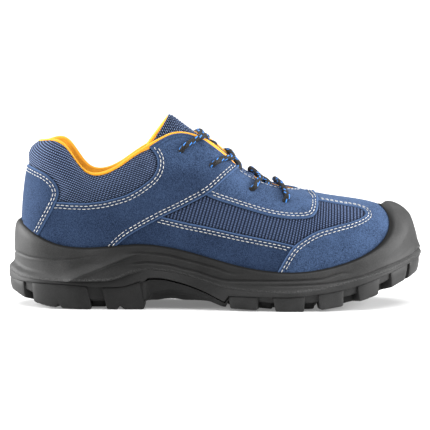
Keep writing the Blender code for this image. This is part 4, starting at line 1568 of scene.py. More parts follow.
@dataclass
class Midsole:
    """Moulded cup that holds the upper: heel cup, side wall with its waves, and toe bumper."""

    last: Last
    columns: int = 484
    wall_rows: int = 72
    row_crowding: float = 1.2
    lip_edge: float = 1.1
    lip_round: float = 2.6
    skin_curve: float = 1.6
    lean_fade: float = 9.0
    joint_gap: float = 0.06
    floor: float = 4.5
    # Parts of the way up the lip where the inside is read, and its gap to the wall
    inside_parts: tuple[float, ...] = (0.3, 0.7, 0.97)
    inside_gap: float = 0.7
    base_inset: float = 3.0
    pocket_flare: float = 1.0
    pocket_depth: float = 0.6
    # The stippled strip's height over the joint and its width
    strip_height: float = 0.9
    strip_width: float = 0.8
    # Width of the painted shade band along the edge at the upper, where it widens towards the toe, and where
    # it fades
    shade_band_side: float = 1.5
    shade_band_toe: float = 3.6
    shade_band_sections: Span = (8.6, 10.0)
    shade_band_fade: Span = (0.35, 1.0)
    # Sections from the heel where the heel's skin ends and the toe's begins
    heel_end: Span = (0.9, 2.5)
    toe_start: Span = (8.6, 10.4)
    # Skin's distance from the upper's wall at the heel and at the toe, by the way down from the lip
    heel_skin: Line = (
        (0.0, 1.2), (1.5, 2.9), (4.0, 4.2), (8.0, 4.8), (17.0, 5.1), (29.0, 5.0), (31.0, 5.6), (34.0, 8.4),
        (36.0, 9.0), (46.0, 9.0))
    toe_skin: Line = (
        (0.0, 0.9), (1.3, 0.8), (2.5, 1.0), (3.8, 2.8), (5.0, 4.4), (7.4, 5.8), (11.0, 7.0), (16.0, 8.0),
        (21.0, 8.5), (25.0, 7.95), (31.0, 7.4), (35.5, 7.4), (39.0, 8.0), (43.0, 9.2), (46.0, 9.4),
        (62.0, 9.0))
    heel_drop: float = 37.0
    toe_drop: float = 46.0
    ridge: Line = (
        (-113.6, 18.6), (-102.6, 23.3), (-77.7, 33.4), (-66.0, 38.2), (-55.7, 41.2))
    ridge_height: float = 3.4
    ridge_ramp: float = 8.5
    ridge_start: Span = (-120.0, -104.0)
    ridge_end: Span = (-72.0, -40.0)
    ridge_curve: float = 1.8
    ridge_edge: float = 1.8
    ridge_fall: float = 0.5
    grooves: tuple[Groove, ...] = (
        Groove(((-62.3, 41.3), (-55.3, 41.8), (-48.4, 41.3), (-36.6, 40.1), (-24.9, 37.4), (-15.4, 35.0),
                (0.0, 30.8), (14.7, 26.4)), 1.2, 1.0, (5.0, 14.0)),
        Groove(((-62.3, 33.7), (-50.6, 34.7), (-41.0, 34.0), (-31.9, 32.6), (-22.7, 30.1), (-13.2, 27.9),
                (-3.7, 24.6), (11.0, 21.3), (43.0, 21.0), (76.0, 22.2), (95.7, 27.1)), 1.2, 0.9, (6.0, 9.0)),
        Groove(((-150.0, 44.0), (-147.3, 43.2), (-135.6, 38.8), (-117.3, 36.6), (-102.6, 37.4),
                (-88.0, 39.6)), 0.6, 0.7, (0.0, 12.0)),
        Groove(((40.3, 17.4), (76.2, 18.6), (103.9, 23.4), (122.4, 30.0), (145.1, 40.4), (150.3, 45.4)),
               1.0, 0.8, (16.0, 0.0)),
    )

    def skin(self, ring: Array, drop: Array, reach: Array) -> Array:
        """Distance of the cup's outside from the upper's wall.

        Args:
            ring: Section numbers, one to a column.
            drop: Way down from the lip, by row and column.
            reach: Whole way from the lip to the joint, one to a column.

        Returns:
            Distances in the shape of drop.
        """
        thick = self.last.loops["lip"](ring)
        lip = np.sqrt(1 - (1 - np.clip(drop / self.lip_round, 0, 1)) ** 2)
        side = self.lip_edge + (thick - self.lip_edge) * lip
        side = side + (self.last.joint_flare - thick) * (drop / reach) ** self.skin_curve
        heel = smooth_table(self.heel_skin, drop * self.heel_drop / reach)
        toe = smooth_table(self.toe_skin, drop * self.toe_drop / reach)
        back = from_heel(ring)
        return (side + (heel - side) * (1 - ease(*self.heel_end, back))
                + (toe - side) * ease(*self.toe_start, back))

    def sculpt(self, points: Array) -> Array:
        """How far the side's waves and its ridge move the skin out."""
        x, z = np.moveaxis(self.last.seen(points), -1, 0)
        moved = sum(groove.press(x, z) for groove in self.grooves)
        below = smooth_table(self.ridge, x) - z
        span = ease(*self.ridge_start, x) * (1 - ease(*self.ridge_end, x))
        ramp = np.clip((below + self.ridge_ramp) / self.ridge_ramp, 0, 1) ** self.ridge_curve
        return moved + self.ridge_height * span * (ramp - self.ridge_fall * ease(0.0, self.ridge_edge, below))

    def build(self, dress: Dress) -> Piece:
        """The closed cup with its sculpted outside.

        Args:
            dress: Look of the foam.

        Returns:
            The cup.
        """
        last = self.last
        ring = np.linspace(0, ROUND, self.columns + 1)
        cover, bed = last.loops["cover"](ring), last.loops["bed"](ring)
        joint = last.joint_height(ring)
        inside = [last.place(ring, last.cover_share(ring, part), self.inside_gap)
                  for part in self.inside_parts]
        reach = cover - joint + bed
        drop = np.linspace(0, 1, self.wall_rows)[:, None] ** self.row_crowding * reach
        climb = cover - drop
        skin = self.skin(ring, drop, reach)
        lean = np.exp(np.minimum(climb, 0) / self.lean_fade)[..., None]
        level = last.outward(ring)
        out = unit(level + (last.normal(ring, np.zeros_like(ring)) - level) * lean)
        low = last.foot(np.broadcast_to(ring, climb.shape), 0.0, bed + climb) + out * skin[..., None]
        outside = np.where((climb < 0)[..., None], low,
                           last.place(ring, last.share_at(ring, np.maximum(climb, 0)), skin))
        outside[-1, :, 2] = joint + self.joint_gap
        outside = outside + self.sculpt(outside)[..., None] * last.outward(ring)
        floor_z = np.minimum(joint, bed - self.floor) + self.joint_gap
        base = last.foot(ring, -self.base_inset, floor_z)
        pocket = last.foot(ring, self.pocket_flare, bed - self.pocket_depth)
        rows = np.stack([pocket, *inside, *outside, base, pocket], 1)
        hidden = 1 + len(inside)
        strip = np.exp(-(((rows[..., 2] - joint[:, None] - self.strip_height) / self.strip_width) ** 2))
        strip[:, :hidden] = 0
        # Painted shade band along the lip against the upper
        painted_shade = np.zeros_like(strip)
        at_toe = ease(*self.shade_band_sections, from_heel(ring))
        band = self.shade_band_side + (self.shade_band_toe - self.shade_band_side) * at_toe
        painted_shade[:, hidden:-2] = (1 - ease(*self.shade_band_fade, drop / band)).T
        shape = loft(last.metres(rows), marks={"strip": strip, "painted_shade": painted_shade})
        bmesh.ops.recalc_face_normals(shape, faces=shape.faces)
        return dress.piece(shape, "midsole_cup")


class Lug(NamedTuple):
    """Block of the tread, along the shoe at its bottom and at its top, with a notch below or none."""

    bottom: Span
    top: Span
    notch: float | None = None


@dataclass
class Outsole:
    """Rubber outsole: plate with a hollow waist, side lugs, blocks behind their gaps and centre blocks."""

    last: Last
    columns: int = 260
    rim_points: int = 900
    rows_across: int = 13
    tread_depth: float = 6.0
    gap_relief: float = 2.5
    waist_relief: float = 5.0
    waist_slot: float = 4.0
    waist_sag: float = 9.0
    keel: float = 3.0
    waist: Span = (-50.0, 8.0)
    waist_fade: float = 2.0
    waist_step: float = 0.9
    plate_inset: float = 3.0
    bed_gap: float = 4.5
    least_wall: float = 2.0
    # A block's height before it is bent, its bevel and the length of its facets
    block_height: float = 11.0
    bevel: float = 1.1
    facet: float = 3.5
    # Half a notch's width, and its depth as a share of the height
    notch_half: float = 2.2
    notch_depth: float = 0.15
    # How far lugs stand out of the plate and lap over it, lean back, and are rounded at heel and toe
    lug_proud: float = 0.15
    lug_lap: float = 0.35
    lug_lean: float = 0.9
    end_round: float = 2.6
    heel_round: Span = (-142.0, -118.0)
    toe_round: Span = (112.0, 138.0)
    inner_depths: Span = (12.0, 24.0)
    inner_lift: float = 0.6
    # How far centre blocks stay inside the foot's outline, sweep back, and sink into the plate
    centre_inset: float = 18.0
    centre_sweep: float = 5.0
    centre_sink: float = 1.5
    heel_end: float = -141.0
    toe_end: float = 143.5
    lugs: tuple[Lug, ...] = (
        Lug((-134.0, -90.5), (-135.0, -94.2), -113.0), Lug((-79.2, -51.3), (-83.6, -55.3), -69.0),
        Lug((11.0, 31.0), (9.5, 31.5)), Lug((44.4, 65.4), (42.2, 66.1)), Lug((77.5, 94.4), (75.5, 94.8)),
        Lug((106.2, 120.3), (104.6, 121.8)), Lug((130.8, 141.3), (129.3, 142.0)),
    )
    inner_blocks: Line = (
        (-140.0, -128.0), (-92.0, -80.0), (22.0, 41.0), (60.0, 74.5), (90.0, 110.0), (117.0, 133.0))
    centre_blocks: Line = (
        (-132.0, -120.0), (-114.0, -92.0), (-86.0, -68.0), (14.0, 33.0), (39.0, 55.0), (61.0, 77.0),
        (83.0, 100.0), (106.0, 122.0))

    def section_at(self, x: Array | float) -> Array:
        """Section on the outer side whose rim is seen at a place along the shoe."""
        fine = np.linspace(0, TOE, self.rim_points)
        return np.interp(x, self.last.seen(self.last.foot(fine, self.last.sole_flare))[:, 0], fine)

    def in_waist(self, x: Array) -> Array:
        """How much a place along the shoe belongs to the hollow waist."""
        low, high = self.waist
        fade = self.waist_fade
        return ease(low - fade, low + fade, x) * (1 - ease(high - fade, high + fade, x))

    def plate(self, dress: Dress) -> Piece:
        """Plate that carries the lugs, as one closed tube from heel to toe.

        Args:
            dress: Look of the rubber.

        Returns:
            The plate.
        """
        last = self.last
        half = np.linspace(0, TOE, self.columns + 1)
        sides = []
        for side in Side:
            ring = side.section(half)
            x = last.foot(half, last.sole_flare)[:, 0]
            waist = self.in_waist(x)
            joint = last.joint_height(ring)
            inner = np.minimum(joint, last.loops["bed"](ring) - self.bed_gap)
            roof = waist * smooth_table(WAIST_ROOF, x) + (1 - waist) * smooth_table(LEDGE_LINE, x)
            floor = smooth_table(TREAD_LINE, x) + self.tread_depth * (1 - waist)
            floor = np.minimum(floor, roof - self.least_wall)
            rim = last.sole_flare
            back = rim - self.gap_relief * (1 - waist) - self.waist_relief * waist
            slot = back - self.waist_slot * waist
            step = self.waist_step * waist
            # The side from the joint down: rounded rim, slot under it, wall and its rounded foot
            profile = (
                (-self.plate_inset, inner), (last.joint_flare - 0.3, joint), (rim - 0.2, joint - 0.15),
                (rim, joint - 0.6), (rim, roof + 0.9), (rim - 0.5, roof + 0.3), (slot, roof + 0.1),
                (slot, roof - 0.3 - step), (back, roof - 0.6 - step), (back - 0.3, floor + 1.2),
                (back - 1.4, floor))
            sides.append([last.foot(ring, flare, height) for flare, height in profile])
        outer, inner = sides
        sag = waist * np.clip(floor - self.keel, 0, self.waist_sag)
        across = []
        for part in np.linspace(0, 1, self.rows_across)[1:-1]:
            row = outer[-1] + (inner[-1] - outer[-1]) * part
            row[:, 2] -= sag * math.sin(math.pi * part)
            across.append(row)
        points = np.stack([*outer, *across, *inner[::-1], outer[0]], 1)
        plain = np.zeros(points.shape[:2])
        shape = loft(last.metres(points), marks={"strip": plain, "painted_shade": plain})
        bmesh.ops.recalc_face_normals(shape, faces=shape.faces)
        return dress.piece(shape, "outsole_plate")

    def block(self, shape: Shape, size: tuple[float, float, float],
              place: Callable[[Array], Array], notch: float | None = None) -> None:
        """Bevelled block, cut fine enough to be bent, and put in place.

        Args:
            shape: Mesh that takes the block.
            size: Length, depth and height.
            place: Turns shares of the three sizes into points.
            notch: Share of the length where a notch is cut across the bottom, or None.
        """
        part = bmesh.new()
        self.mark(part)
        bmesh.ops.create_cube(part, size=1)
        bmesh.ops.translate(part, verts=part.verts, vec=(0.5, 0.5, 0.5))
        bmesh.ops.scale(part, verts=part.verts, vec=size)
        bmesh.ops.bevel(part, geom=part.edges[:], offset=self.bevel, offset_type="OFFSET", affect="EDGES",
                        segments=2, profile=0.5, material=-1)
        cuts = [(axis, share * size[axis])
                for axis, count in ((0, max(2, round(size[0] / self.facet))), (1, 3), (2, 3))
                for share in np.arange(1, count) / count]
        if notch is not None:
            cuts += [(0, notch * size[0] + shift) for shift in (-self.notch_half, 0.0, self.notch_half)]
        for axis, where in cuts:
            cut_across(part, [*part.verts, *part.edges, *part.faces], axis, where, 1e-4)
        verts = list(part.verts)
        shares = np.array([v.co for v in verts]) / size
        if notch is not None:
            away = np.abs(shares[:, 0] - notch) * size[0]
            deep = np.maximum(0, 1 - away / self.notch_half)
            shares[:, 2] += deep * (1 - shares[:, 2]) * self.notch_depth
        for v, point in zip(verts, self.last.metres(place(shares))):
            v.co = point
        bmesh.ops.recalc_face_normals(part, faces=part.faces)
        mesh = finished(part, "block")
        shape.from_mesh(mesh)
        bpy.data.meshes.remove(mesh)

    @staticmethod
    def mark(shape: Shape) -> None:
        """Gives a mesh the marks that the sole's finish reads."""
        for name in ("strip", "painted_shade"):
            shape.verts.layers.float.new(name)

    def side_block(self, shape: Shape, bottom: Span, top: Span,
                   side: Side, depths: Span = (0.0, 15.0), lift: float = 0.0,
                   notch: float | None = None) -> None:
        """Block along the rim, between sections at its bottom and at its top.

        Args:
            shape: Mesh that takes the block.
            bottom: First and last section at the bottom, on the outer side.
            top: First and last section at the top.
            side: Side that the block is on.
            depths: How far inside the rim the block starts and ends.
            lift: How far it stays above the ground line.
            notch: Share of the length with a notch below, or None.
        """
        last = self.last
        length = abs(bottom[1] - bottom[0]) * CHART[0]
        flare = last.sole_flare + self.lug_proud

        def place(shares: Array) -> Array:
            """Points of the bent block from shares of its length, depth and height."""
            low = bottom[0] + (bottom[1] - bottom[0]) * shares[:, 0]
            high = top[0] + (top[1] - top[0]) * shares[:, 0]
            section = low + (high - low) * shares[:, 2]
            depth = depths[0] + (depths[1] - depths[0]) * shares[:, 1]
            x = last.foot(section, last.sole_flare)[:, 0]
            ground = smooth_table(TREAD_LINE, last.foot(section, flare - depth)[:, 0]) + lift
            upper = smooth_table(LEDGE_LINE, x) + self.lug_lap
            ends = np.maximum(ease(*self.toe_round, x), 1 - ease(*self.heel_round, x))
            back = self.lug_lean * shares[:, 2] + self.end_round * ends * (1 - shares[:, 2]) ** 2
            return last.foot(side.section(section), flare - depth - back * (depths[0] == 0),
                             ground + (upper - ground) * shares[:, 2])

        self.block(shape, (length, depths[1] - depths[0], self.block_height), place, notch)

    def tread(self, dress: Dress) -> Piece:
        """Side lugs of both sides, with those round the heel and the toe, and the blocks behind.

        Args:
            dress: Look of the rubber.

        Returns:
            All blocks as one piece.
        """
        shape = bmesh.new()
        self.mark(shape)
        heel = float(self.section_at(self.heel_end))
        toe = float(self.section_at(self.toe_end))
        for ends in ((-heel, heel), (toe, ROUND - toe)):
            self.side_block(shape, ends, ends, Side.OUTER)
        for side in Side:
            for lug in self.lugs:
                bottom, top = (tuple(self.section_at(np.array(ends))) for ends in (lug.bottom, lug.top))
                notch = None if lug.notch is None else (lug.notch - lug.bottom[0]) / (
                    lug.bottom[1] - lug.bottom[0])
                self.side_block(shape, bottom, top, side, notch=notch)
            for ends in self.inner_blocks:
                sections = tuple(self.section_at(np.array(ends)))
                self.side_block(shape, sections, sections, side, self.inner_depths, self.inner_lift)
        for ends in self.centre_blocks:
            self.centre_block(shape, ends)
        return dress.piece(shape, "outsole_lugs")

    def centre_block(self, shape: Shape, ends: Span) -> None:
        """Block across the middle of the tread, bent forward like an arrow.

        Args:
            shape: Mesh that takes the block.
            ends: Its ends along the shoe.
        """
        last = self.last
        middle = self.section_at(np.array(ends).mean())
        outer, inner = (last.foot(np.array([side.section(middle)]), -self.centre_inset)[0] for side in Side)

        def place(shares: Array) -> Array:
            """Points of the block from shares of its length, width and height."""
            y = outer[1] + (inner[1] - outer[1]) * shares[:, 1]
            x = ends[0] + (ends[1] - ends[0]) * shares[:, 0]
            x = x - self.centre_sweep * np.abs(2 * shares[:, 1] - 1)
            ground = smooth_table(TREAD_LINE, x)
            return stack(x, y, ground + (self.tread_depth + self.centre_sink) * shares[:, 2])

        self.block(shape, (ends[1] - ends[0], abs(inner[1] - outer[1]), self.tread_depth), place)


@dataclass
class Insole:
    """Footbed that lies in the shoe, with a slightly raised rim."""

    last: Last
    inset: float = 3.2
    columns: int = 200
    rows_across: tuple[int, int] = (9, 5)
    # Section of the rim from below: how far inside, and height over the last's bottom edge
    profile: Line = (
        (1.2, 0.2), (0.0, 1.0), (0.0, 3.2), (1.0, 4.0), (4.0, 3.4), (9.0, 2.9))

    def build(self, dress: Dress) -> Piece:
        """The closed footbed.

        Args:
            dress: Look of the felt.

        Returns:
            The footbed.
        """
        last = self.last
        half = np.linspace(0, TOE, self.columns + 1)
        sides = []
        for side in Side:
            ring = side.section(half)
            bed = last.loops["bed"](ring)
            sides.append([last.foot(ring, -self.inset - back, bed + up) for back, up in self.profile])
        outer, inner = sides
        above, below = (np.linspace(0, 1, count)[1:] for count in self.rows_across)
        top = [outer[-1] + (inner[-1] - outer[-1]) * part for part in above[:-1]]
        under = [inner[0] + (outer[0] - inner[0]) * part for part in below]
        points = np.stack([*outer, *top, *inner[::-1], *under], 1)
        shape = loft(last.metres(points))
        bmesh.ops.recalc_face_normals(shape, faces=shape.faces)
        return dress.piece(shape, "footbed")


@dataclass
class Tongue:
    """Padded tongue: ribbed mesh in front, lining behind."""

    last: Last
    # Rows under the flaps: section, and how much further back the edges lie
    rows: Line = (
        (10.2, 0.0), (9.6, 0.0), (9.0, 0.0), (8.4, 0.0), (7.8, 0.0), (7.2, 0.0), (6.7, 0.05), (6.2, 0.15),
        (5.8, 0.30))
    shares: tuple[float, ...] = (0.78, 0.87, 0.95)
    # Height of the arch to its span, low under the lace and high at the free end
    arch: Span = (0.095, 0.17)
    arch_sections: Span = (6.2, 7.1)
    clearance: float = 0.8
    # Rows of the free end: way up, half width, drop of the edges and lift of the middle
    free: tuple[tuple[float, float, float, float], ...] = (
        (7.0, 20.5, 17.8, 0.8), (15.0, 21.0, 24.0, 1.9), (22.0, 20.5, 27.4, 2.8), (25.5, 20.0, 28.0, 2.5),
        (27.6, 19.6, 28.0, 0.6))
    sweep: float = 0.13
    thickness: float = 5.0
    grid: tuple[int, int] = (120, 132)
    # Share of the length from which the end thins, and the width of the lining's turned edge there,
    # in the middle and more at the sides
    thin_from: float = 0.90
    turned: float = 1.8
    turned_sides: float = 3.2
    pitch: float = 2.4
    hole_pitch: float = 1.5
    relief: float = 0.42

    def top(self, section: float, across: float, lift: float = 0.0) -> Array:
        """Point on the tongue's arch.

        Args:
            section: Section on the outer side.
            across: 0 at the outer flap, 1 at the inner flap.
            lift: Height over the arch.

        Returns:
            The point.
        """
        last = self.last
        pair = np.array((section, ROUND - section))
        share = np.full(2, self.shares[-1])
        outer, inner = last.place(pair, share, -last.thickness(pair, share) - self.clearance)
        span = inner - outer
        crown = last.normal(pair, share).sum(0)
        crown = unit(crown - span * (crown @ span) / (span @ span))
        low, high = self.arch
        height = (high + (low - high) * float(ease(*self.arch_sections, section))) * np.linalg.norm(span)
        return outer + across * span + crown * (lift + height * (1 - (2 * across - 1) ** 2))

    def control(self) -> Array:
        """Rows of points across the tongue's face, from the end of the throat to its free end."""
        last = self.last
        shares = np.array(self.shares)
        rows = []
        for section, swing in self.rows:
            back = section - swing * (shares[-1] - shares) / (shares[-1] - shares[0])
            depth = -last.thickness(back, shares) - self.clearance
            middle = [self.top(section, across) for across in (0.25, 0.5, 0.75)]
            rows.append(np.array([*last.place(back, shares, depth), *middle,
                                  *last.place(ROUND - back, shares, depth)[::-1]]))
        centre = len(rows[0]) // 2
        peak = rows[-1][centre]
        along = unit(peak - rows[-2][centre])
        down = np.array((-along[2], 0, along[0]))
        spread = np.linspace(-1, 1, len(rows[0]))[:, None]
        for climb, half_width, drop, lift in self.free:
            reach = climb * (1 + self.sweep * spread**2)
            rows.append(peak + reach * along + spread * (0, half_width, 0) + (spread**2 * drop - lift) * down)
        return np.array(rows)

    def build(self, dress: Dress) -> Piece:
        """The closed pad, with its back as the second material.

        Args:
            dress: Look of the mesh and of the lining.

        Returns:
            The pad.
        """
        length, width = self.grid
        face = resample(self.control(), length)
        face = np.swapaxes(resample(np.swapaxes(face, 0, 1), width), 0, 1)
        normal = unit(np.cross(np.gradient(face, axis=1), np.gradient(face, axis=0)))
        normal *= np.sign(normal[length // 2, width // 2, 2])
        side = np.linspace(-1, 1, width)[None, :]
        end = np.clip((np.linspace(0, 1, length)[:, None] - self.thin_from) / (1 - self.thin_from), 0, 1)
        full = np.sqrt(np.maximum(0, 1 - side**8) * np.maximum(0, 1 - end**2))
        across = travelled(face, 1)
        across -= across[:, width // 2:width // 2 + 1]
        along = travelled(face)
        uv = np.stack([along / self.pitch, across / self.hole_pitch], -1)
        ribs = self.relief * np.cos(uv[..., 0] * math.tau) * full
        front = face + normal * (ribs - 0.5 * self.thickness * (1 - full))[..., None]
        back = face - normal * (0.5 * self.thickness * (1 + full))[..., None]
        flat = wrapped(uv, uv * (self.pitch, self.hole_pitch))
        rolled = (along[-1] - along < self.turned + self.turned_sides * np.abs(side)).astype(float)
        lined = wrapped(rolled, np.ones_like(across))
        shape = loft(self.last.metres(wrapped(front, back)), flat,
                     {"back": lined, "deep": np.ones_like(lined)})
        mark = shape.verts.layers.float["back"]
        # A face is lined where at least three of its corners are
        for f in shape.faces:
            f.material_index = int(sum(v[mark] for v in f.verts) > 2.5)
        seal(shape)
        piece = dress.piece(shape, "tongue_pad")
        return piece


class LaceHole(NamedTuple):
    """Punched hole in both flaps, and the sections at which its lace crosses their edges.

    back is how much further back the lace leaves over the outer flap's edge.
    """

    section: float
    share: float
    outer_edge: float
    inner_edge: float
    back: float = 0.0

    def edge(self, side: Side) -> float:
        """Section at which the lace meets the flap's edge on one side."""
        return self.outer_edge if side is Side.OUTER else self.inner_edge

    def leave(self, side: Side) -> float:
        """Section at which the lace leaves over the flap's edge on one side."""
        return self.edge(side) - (self.back if side is Side.OUTER else 0.0)


@dataclass
class Lace:
    """One round lace through four pairs of holes, from the top pair down and up again."""

    last: Last
    tongue: Tongue
    diameter: float = 4.1
    sides: int = 14
    spacing: float = 1.1
    flap: float = 0.4
    # How far the lace sinks into the suede and the pad, and how high the bar stands
    sink: float = 0.15
    press: float = 0.3
    bar_lift: float = 1.0
    # Way through a hole: shifts of section and share, and depth of the start under the wall
    through: Line = ((-0.05, -0.012), (-0.02, -0.004), (0.05, 0.012))
    hole_depth: float = 2.2
    # Height over the wall in the hole, then over lying on the flap: by the hole, half way and at the edge
    heights: tuple[float, float, float, float] = (0.2, -0.3, 0.1, 0.4)
    edge_share: float = 0.015
    # Place across the tongue where the lace goes under the far flap, and its way on there to the next hole
    far: float = 0.80
    under_shares: Span = (0.955, 0.90)
    under_shift: float = 0.1
    # Sections by which the lace goes under a flap behind the place where it will leave it
    short: float = 0.5
    # Height of the upper and the lower strand at each crossing, from lying on the tongue
    lifts: Line = ((-1.0, -3.4), (-0.3, -3.0), (0.2, -2.6))
    holes: tuple[LaceHole, ...] = (
        LaceHole(5.43, 0.884, 5.87, 5.84, -0.06), LaceHole(6.02, 0.808, 6.70, 6.50, 0.11),
        LaceHole(6.90, 0.780, 7.32, 7.12, -0.07), LaceHole(7.64, 0.752, 8.10, 7.90))

    def on(self, side: Side, section: float, share: float, height: float) -> Array:
        """Point at a height over the flap of one side."""
        return self.last.place(np.array(side.section(section)), np.array(share), height)

    def out_of(self, hole: LaceHole, side: Side) -> list[Array]:
        """From under a hole, through it and over the flap to the flap's edge."""
        lie = self.flap + self.diameter / 2 - self.sink
        edge = hole.leave(side)
        top = float(self.last.rim_share(np.array(edge))) - self.edge_share
        spots = [(hole.section + section, hole.share + share) for section, share in self.through]
        spots += [((hole.section + edge) / 2, (hole.share + top) / 2), (edge, top)]
        level, *over = self.heights
        heights = [-self.last.wall - self.hole_depth, level, *(lie + more for more in over)]
        return [self.on(side, *spot, height) for spot, height in zip(spots, heights)]

    def under(self, hole: LaceHole, side: Side) -> list[Array]:
        """From the edge of the flap to below a hole."""
        depth = -self.last.wall - self.diameter / 2 - self.press
        edge, inside = self.under_shares
        return [self.on(side, hole.edge(side) - self.short, edge, depth),
                self.on(side, hole.section + self.under_shift, inside, depth)]

    def crossing(self, hole: LaceHole, following: LaceHole, side: Side, lift: float) -> list[Array]:
        """Over the tongue from one flap to the next hole of the other flap."""
        end = following.edge(side.other) - self.short
        rest = self.diameter / 2 - self.press
        far = self.far if side is Side.OUTER else 1 - self.far
        return [self.tongue.top((hole.leave(side) + end) / 2, 0.5, rest + lift),
                self.tongue.top(end, far, rest)]

    def half(self, side: Side) -> list[Array]:
        """Lace from a top hole down to just before the bar across the lowest holes.

        Args:
            side: Side that it starts on.

        Returns:
            Points that it passes.
        """
        points = []
        for number, (hole, following) in enumerate(zip(self.holes, self.holes[1:])):
            above = (number == 0) == (side is Side.OUTER)
            lift = self.lifts[number][0 if above else 1]
            points += self.out_of(hole, side)
            points += self.crossing(hole, following, side, lift)
            side = side.other
            points += self.under(following, side)
        return points + self.out_of(self.holes[-1], side)

    def path(self) -> Array:
        """The whole lace, end to end."""
        bar = self.tongue.top(self.holes[-1].inner_edge, 0.5, self.diameter / 2 + self.bar_lift)
        halves = [*self.half(Side.OUTER), bar, *self.half(Side.INNER)[::-1]]
        return spline(np.array(halves), self.spacing)

    def build(self, dress: Dress) -> Piece:
        """Round tube along the path, closed at its hidden ends.

        Args:
            dress: Look of the braid.

        Returns:
            The lace.
        """
        path = self.path()
        ahead = unit(np.gradient(path, axis=0))
        frames = [unit(np.cross(ahead[0], UP))]
        for tangent in ahead[1:]:
            frames.append(unit(frames[-1] - tangent * (frames[-1] @ tangent)))
        right = np.array(frames)
        up = np.cross(ahead, right)
        angles = np.linspace(0, math.tau, self.sides + 1)
        ring = right[:, None] * np.cos(angles)[None, :, None] + up[:, None] * np.sin(angles)[None, :, None]
        points = path[:, None] + ring * self.diameter / 2
        run = np.arange(len(path)) * self.spacing
        uv = np.stack(np.broadcast_arrays((angles / math.tau)[None, :], run[:, None]), -1)
        shape = loft(self.last.metres(points), uv)
        seal(shape)
        LOG.info("lace length %.0f mm", run[-1])
        return dress.piece(shape, "lace")


@dataclass
class Studio:
    """Pale floor, soft light from above with two side lights, and the camera at the outer side."""

    width: float = 0.3152
    distance: float = 2.2
    elevation: float = 5.0
    aim: tuple[float, float, float] = (0.0, 0.0, 0.0650)
    sensor: float = 36.0
    floor_size: float = 60.0
    # The light from above: turn about X and Y and spread in degrees, and brightness
    sun_turn: Span = (-2.0, 0.0)
    sun_spread: float = 80.0
    sun_strength: float = 5.2
    sky_strength: float = 0.30
    # The side lights: name, place and power
    side_lights: tuple[tuple[str, tuple[float, float, float], float], ...] = (
        ("heel_light", (-1.4, 0.15, 0.46), 70.0), ("toe_light", (1.5, -0.15, 0.50), 60.0))
    side_light_size: Span = (1.4, 0.8)

    def build(self) -> None:
        """Floor, lights, camera and the colours of the picture."""
        shape = bmesh.new()
        bmesh.ops.create_grid(shape, x_segments=4, y_segments=4, size=self.floor_size)
        mesh = finished(shape, "floor")
        mesh.materials.append(PaleFloor().make())
        floor = add("floor", mesh)
        self.sun()
        for name, place, power in self.side_lights:
            self.panel(name, place, power)
        world = bpy.data.worlds.new("studio")
        world.use_nodes = True
        sky = world.node_tree.nodes["Background"].inputs
        sky["Color"].default_value = (1, 1, 1, 1)
        sky["Strength"].default_value = self.sky_strength
        bpy.context.scene.world = world
        bpy.context.scene.view_settings.view_transform = "Standard"
        self.camera()

    def sun(self) -> None:
        """Even soft light from above."""
        light = bpy.data.lights.new("top_light", "SUN")
        light.energy = self.sun_strength
        light.angle = math.radians(self.sun_spread)
        lamp = add("top_light", light)
        lamp.rotation_euler = (*map(math.radians, self.sun_turn), 0)

    def panel(self, name: str, place: tuple[float, float, float], power: float) -> None:
        """Wide soft light that looks at the shoe.

        Args:
            name: Name of the light.
            place: Where it stands.
            power: Power in watts.
        """
        light = bpy.data.lights.new(name, "AREA")
        light.shape = "RECTANGLE"
        light.size, light.size_y = self.side_light_size
        light.energy = power
        lamp = add(name, light)
        lamp.location = place
        lamp.rotation_euler = (Vector(self.aim) - Vector(place)).to_track_quat("-Z", "Y").to_euler()

    def camera(self) -> None:
        """Long lens at the outer side, a little above the shoe."""
        lens = bpy.data.cameras.new("camera")
        lens.sensor_width = self.sensor
        lens.lens = self.sensor * self.distance / self.width
        camera = add("camera", lens)
        rise = math.radians(self.elevation)
        target = Vector(self.aim)
        camera.location = target + Vector((0, -math.cos(rise), math.sin(rise))) * self.distance
        camera.rotation_euler = (target - camera.location).to_track_quat("-Z", "Y").to_euler()
        bpy.context.scene.camera = camera


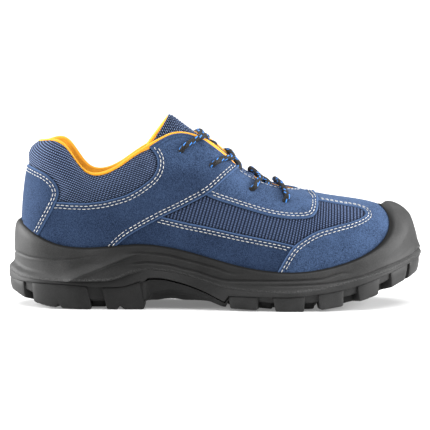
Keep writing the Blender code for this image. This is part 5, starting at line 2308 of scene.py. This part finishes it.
def main() -> None:
    """Builds the shoe piece by piece, then the studio."""
    logging.basicConfig(level=logging.INFO, format="%(name)s: %(message)s")
    last = Last()
    suede = Dress("suede", (Suede().make(),))
    collar_mesh = RibbedMesh("collar_mesh", rib=(0.124, 0.171, 0.292), valley=(0.003, 0.006, 0.017)).make()
    vamp_mesh = RibbedMesh("vamp_mesh", rib=(0.070, 0.102, 0.184), valley=(0.011, 0.018, 0.042)).make()
    knit = KnitLining().make()
    thread = Dress("thread", (SewingThread().make(),))
    # The sole's finishes paint shade along the middle of the sole
    foam = SoleRubber("midsole_skin", base=(0.013, 0.013, 0.013), bright=(0.044, 0.044, 0.044),
                      painted_mid_shade=(-100.0, -55.0, 15.0, 75.0), painted_mid_shade_depth=0.62).make()
    rubber = SoleRubber("outsole_rubber", base=(0.012, 0.012, 0.012), bright=(0.040, 0.040, 0.040),
                        painted_mid_shade=(-140.0, -120.0, -20.0, 50.0), painted_mid_shade_depth=0.46).make()

    sole = Outsole(last)
    sole.plate(Dress("outsole", (rubber,), ("outsole",), sharp=35.0))
    sole.tread(Dress("outsole", (rubber,), sharp=35.0))
    Midsole(last).build(Dress("midsole", (foam,), ("midsole",)))
    Insole(last).build(Dress("insole", (Footbed().make(),), ("insole",)))

    upper = Upper(last)
    upper.lining(Dress("lining", (knit,), ("upper",)))
    panels = upper.panels()
    stitching = Stitching(last)
    for panel in panels:
        panel.build(suede)
        stitching.build(panel, [other for other in panels if panel in other.under], thread)
    *foxings, toe, eyestay, quarter_outer, quarter_inner, counter = panels
    quarters = [quarter_outer, quarter_inner]
    windows = MeshWindows(last)
    windows.collar(quarters, counter, Dress("mesh", (collar_mesh,)))
    for side, foxing, quarter in zip(Side, foxings, quarters):
        windows.vamp(side, [foxing, toe, eyestay, quarter], Dress("mesh", (vamp_mesh,)))
    tongue = Tongue(last)
    tongue.build(Dress("mesh", (collar_mesh, knit), ("tongue",)))
    strands = ("lace_cross_1", "lace_cross_2", "lace_cross_3", "lace_bar")
    Lace(last, tongue).build(Dress("lace", (LaceBraid().make(),), strands))
    Studio().build()


if __name__ == "__main__":
    main()
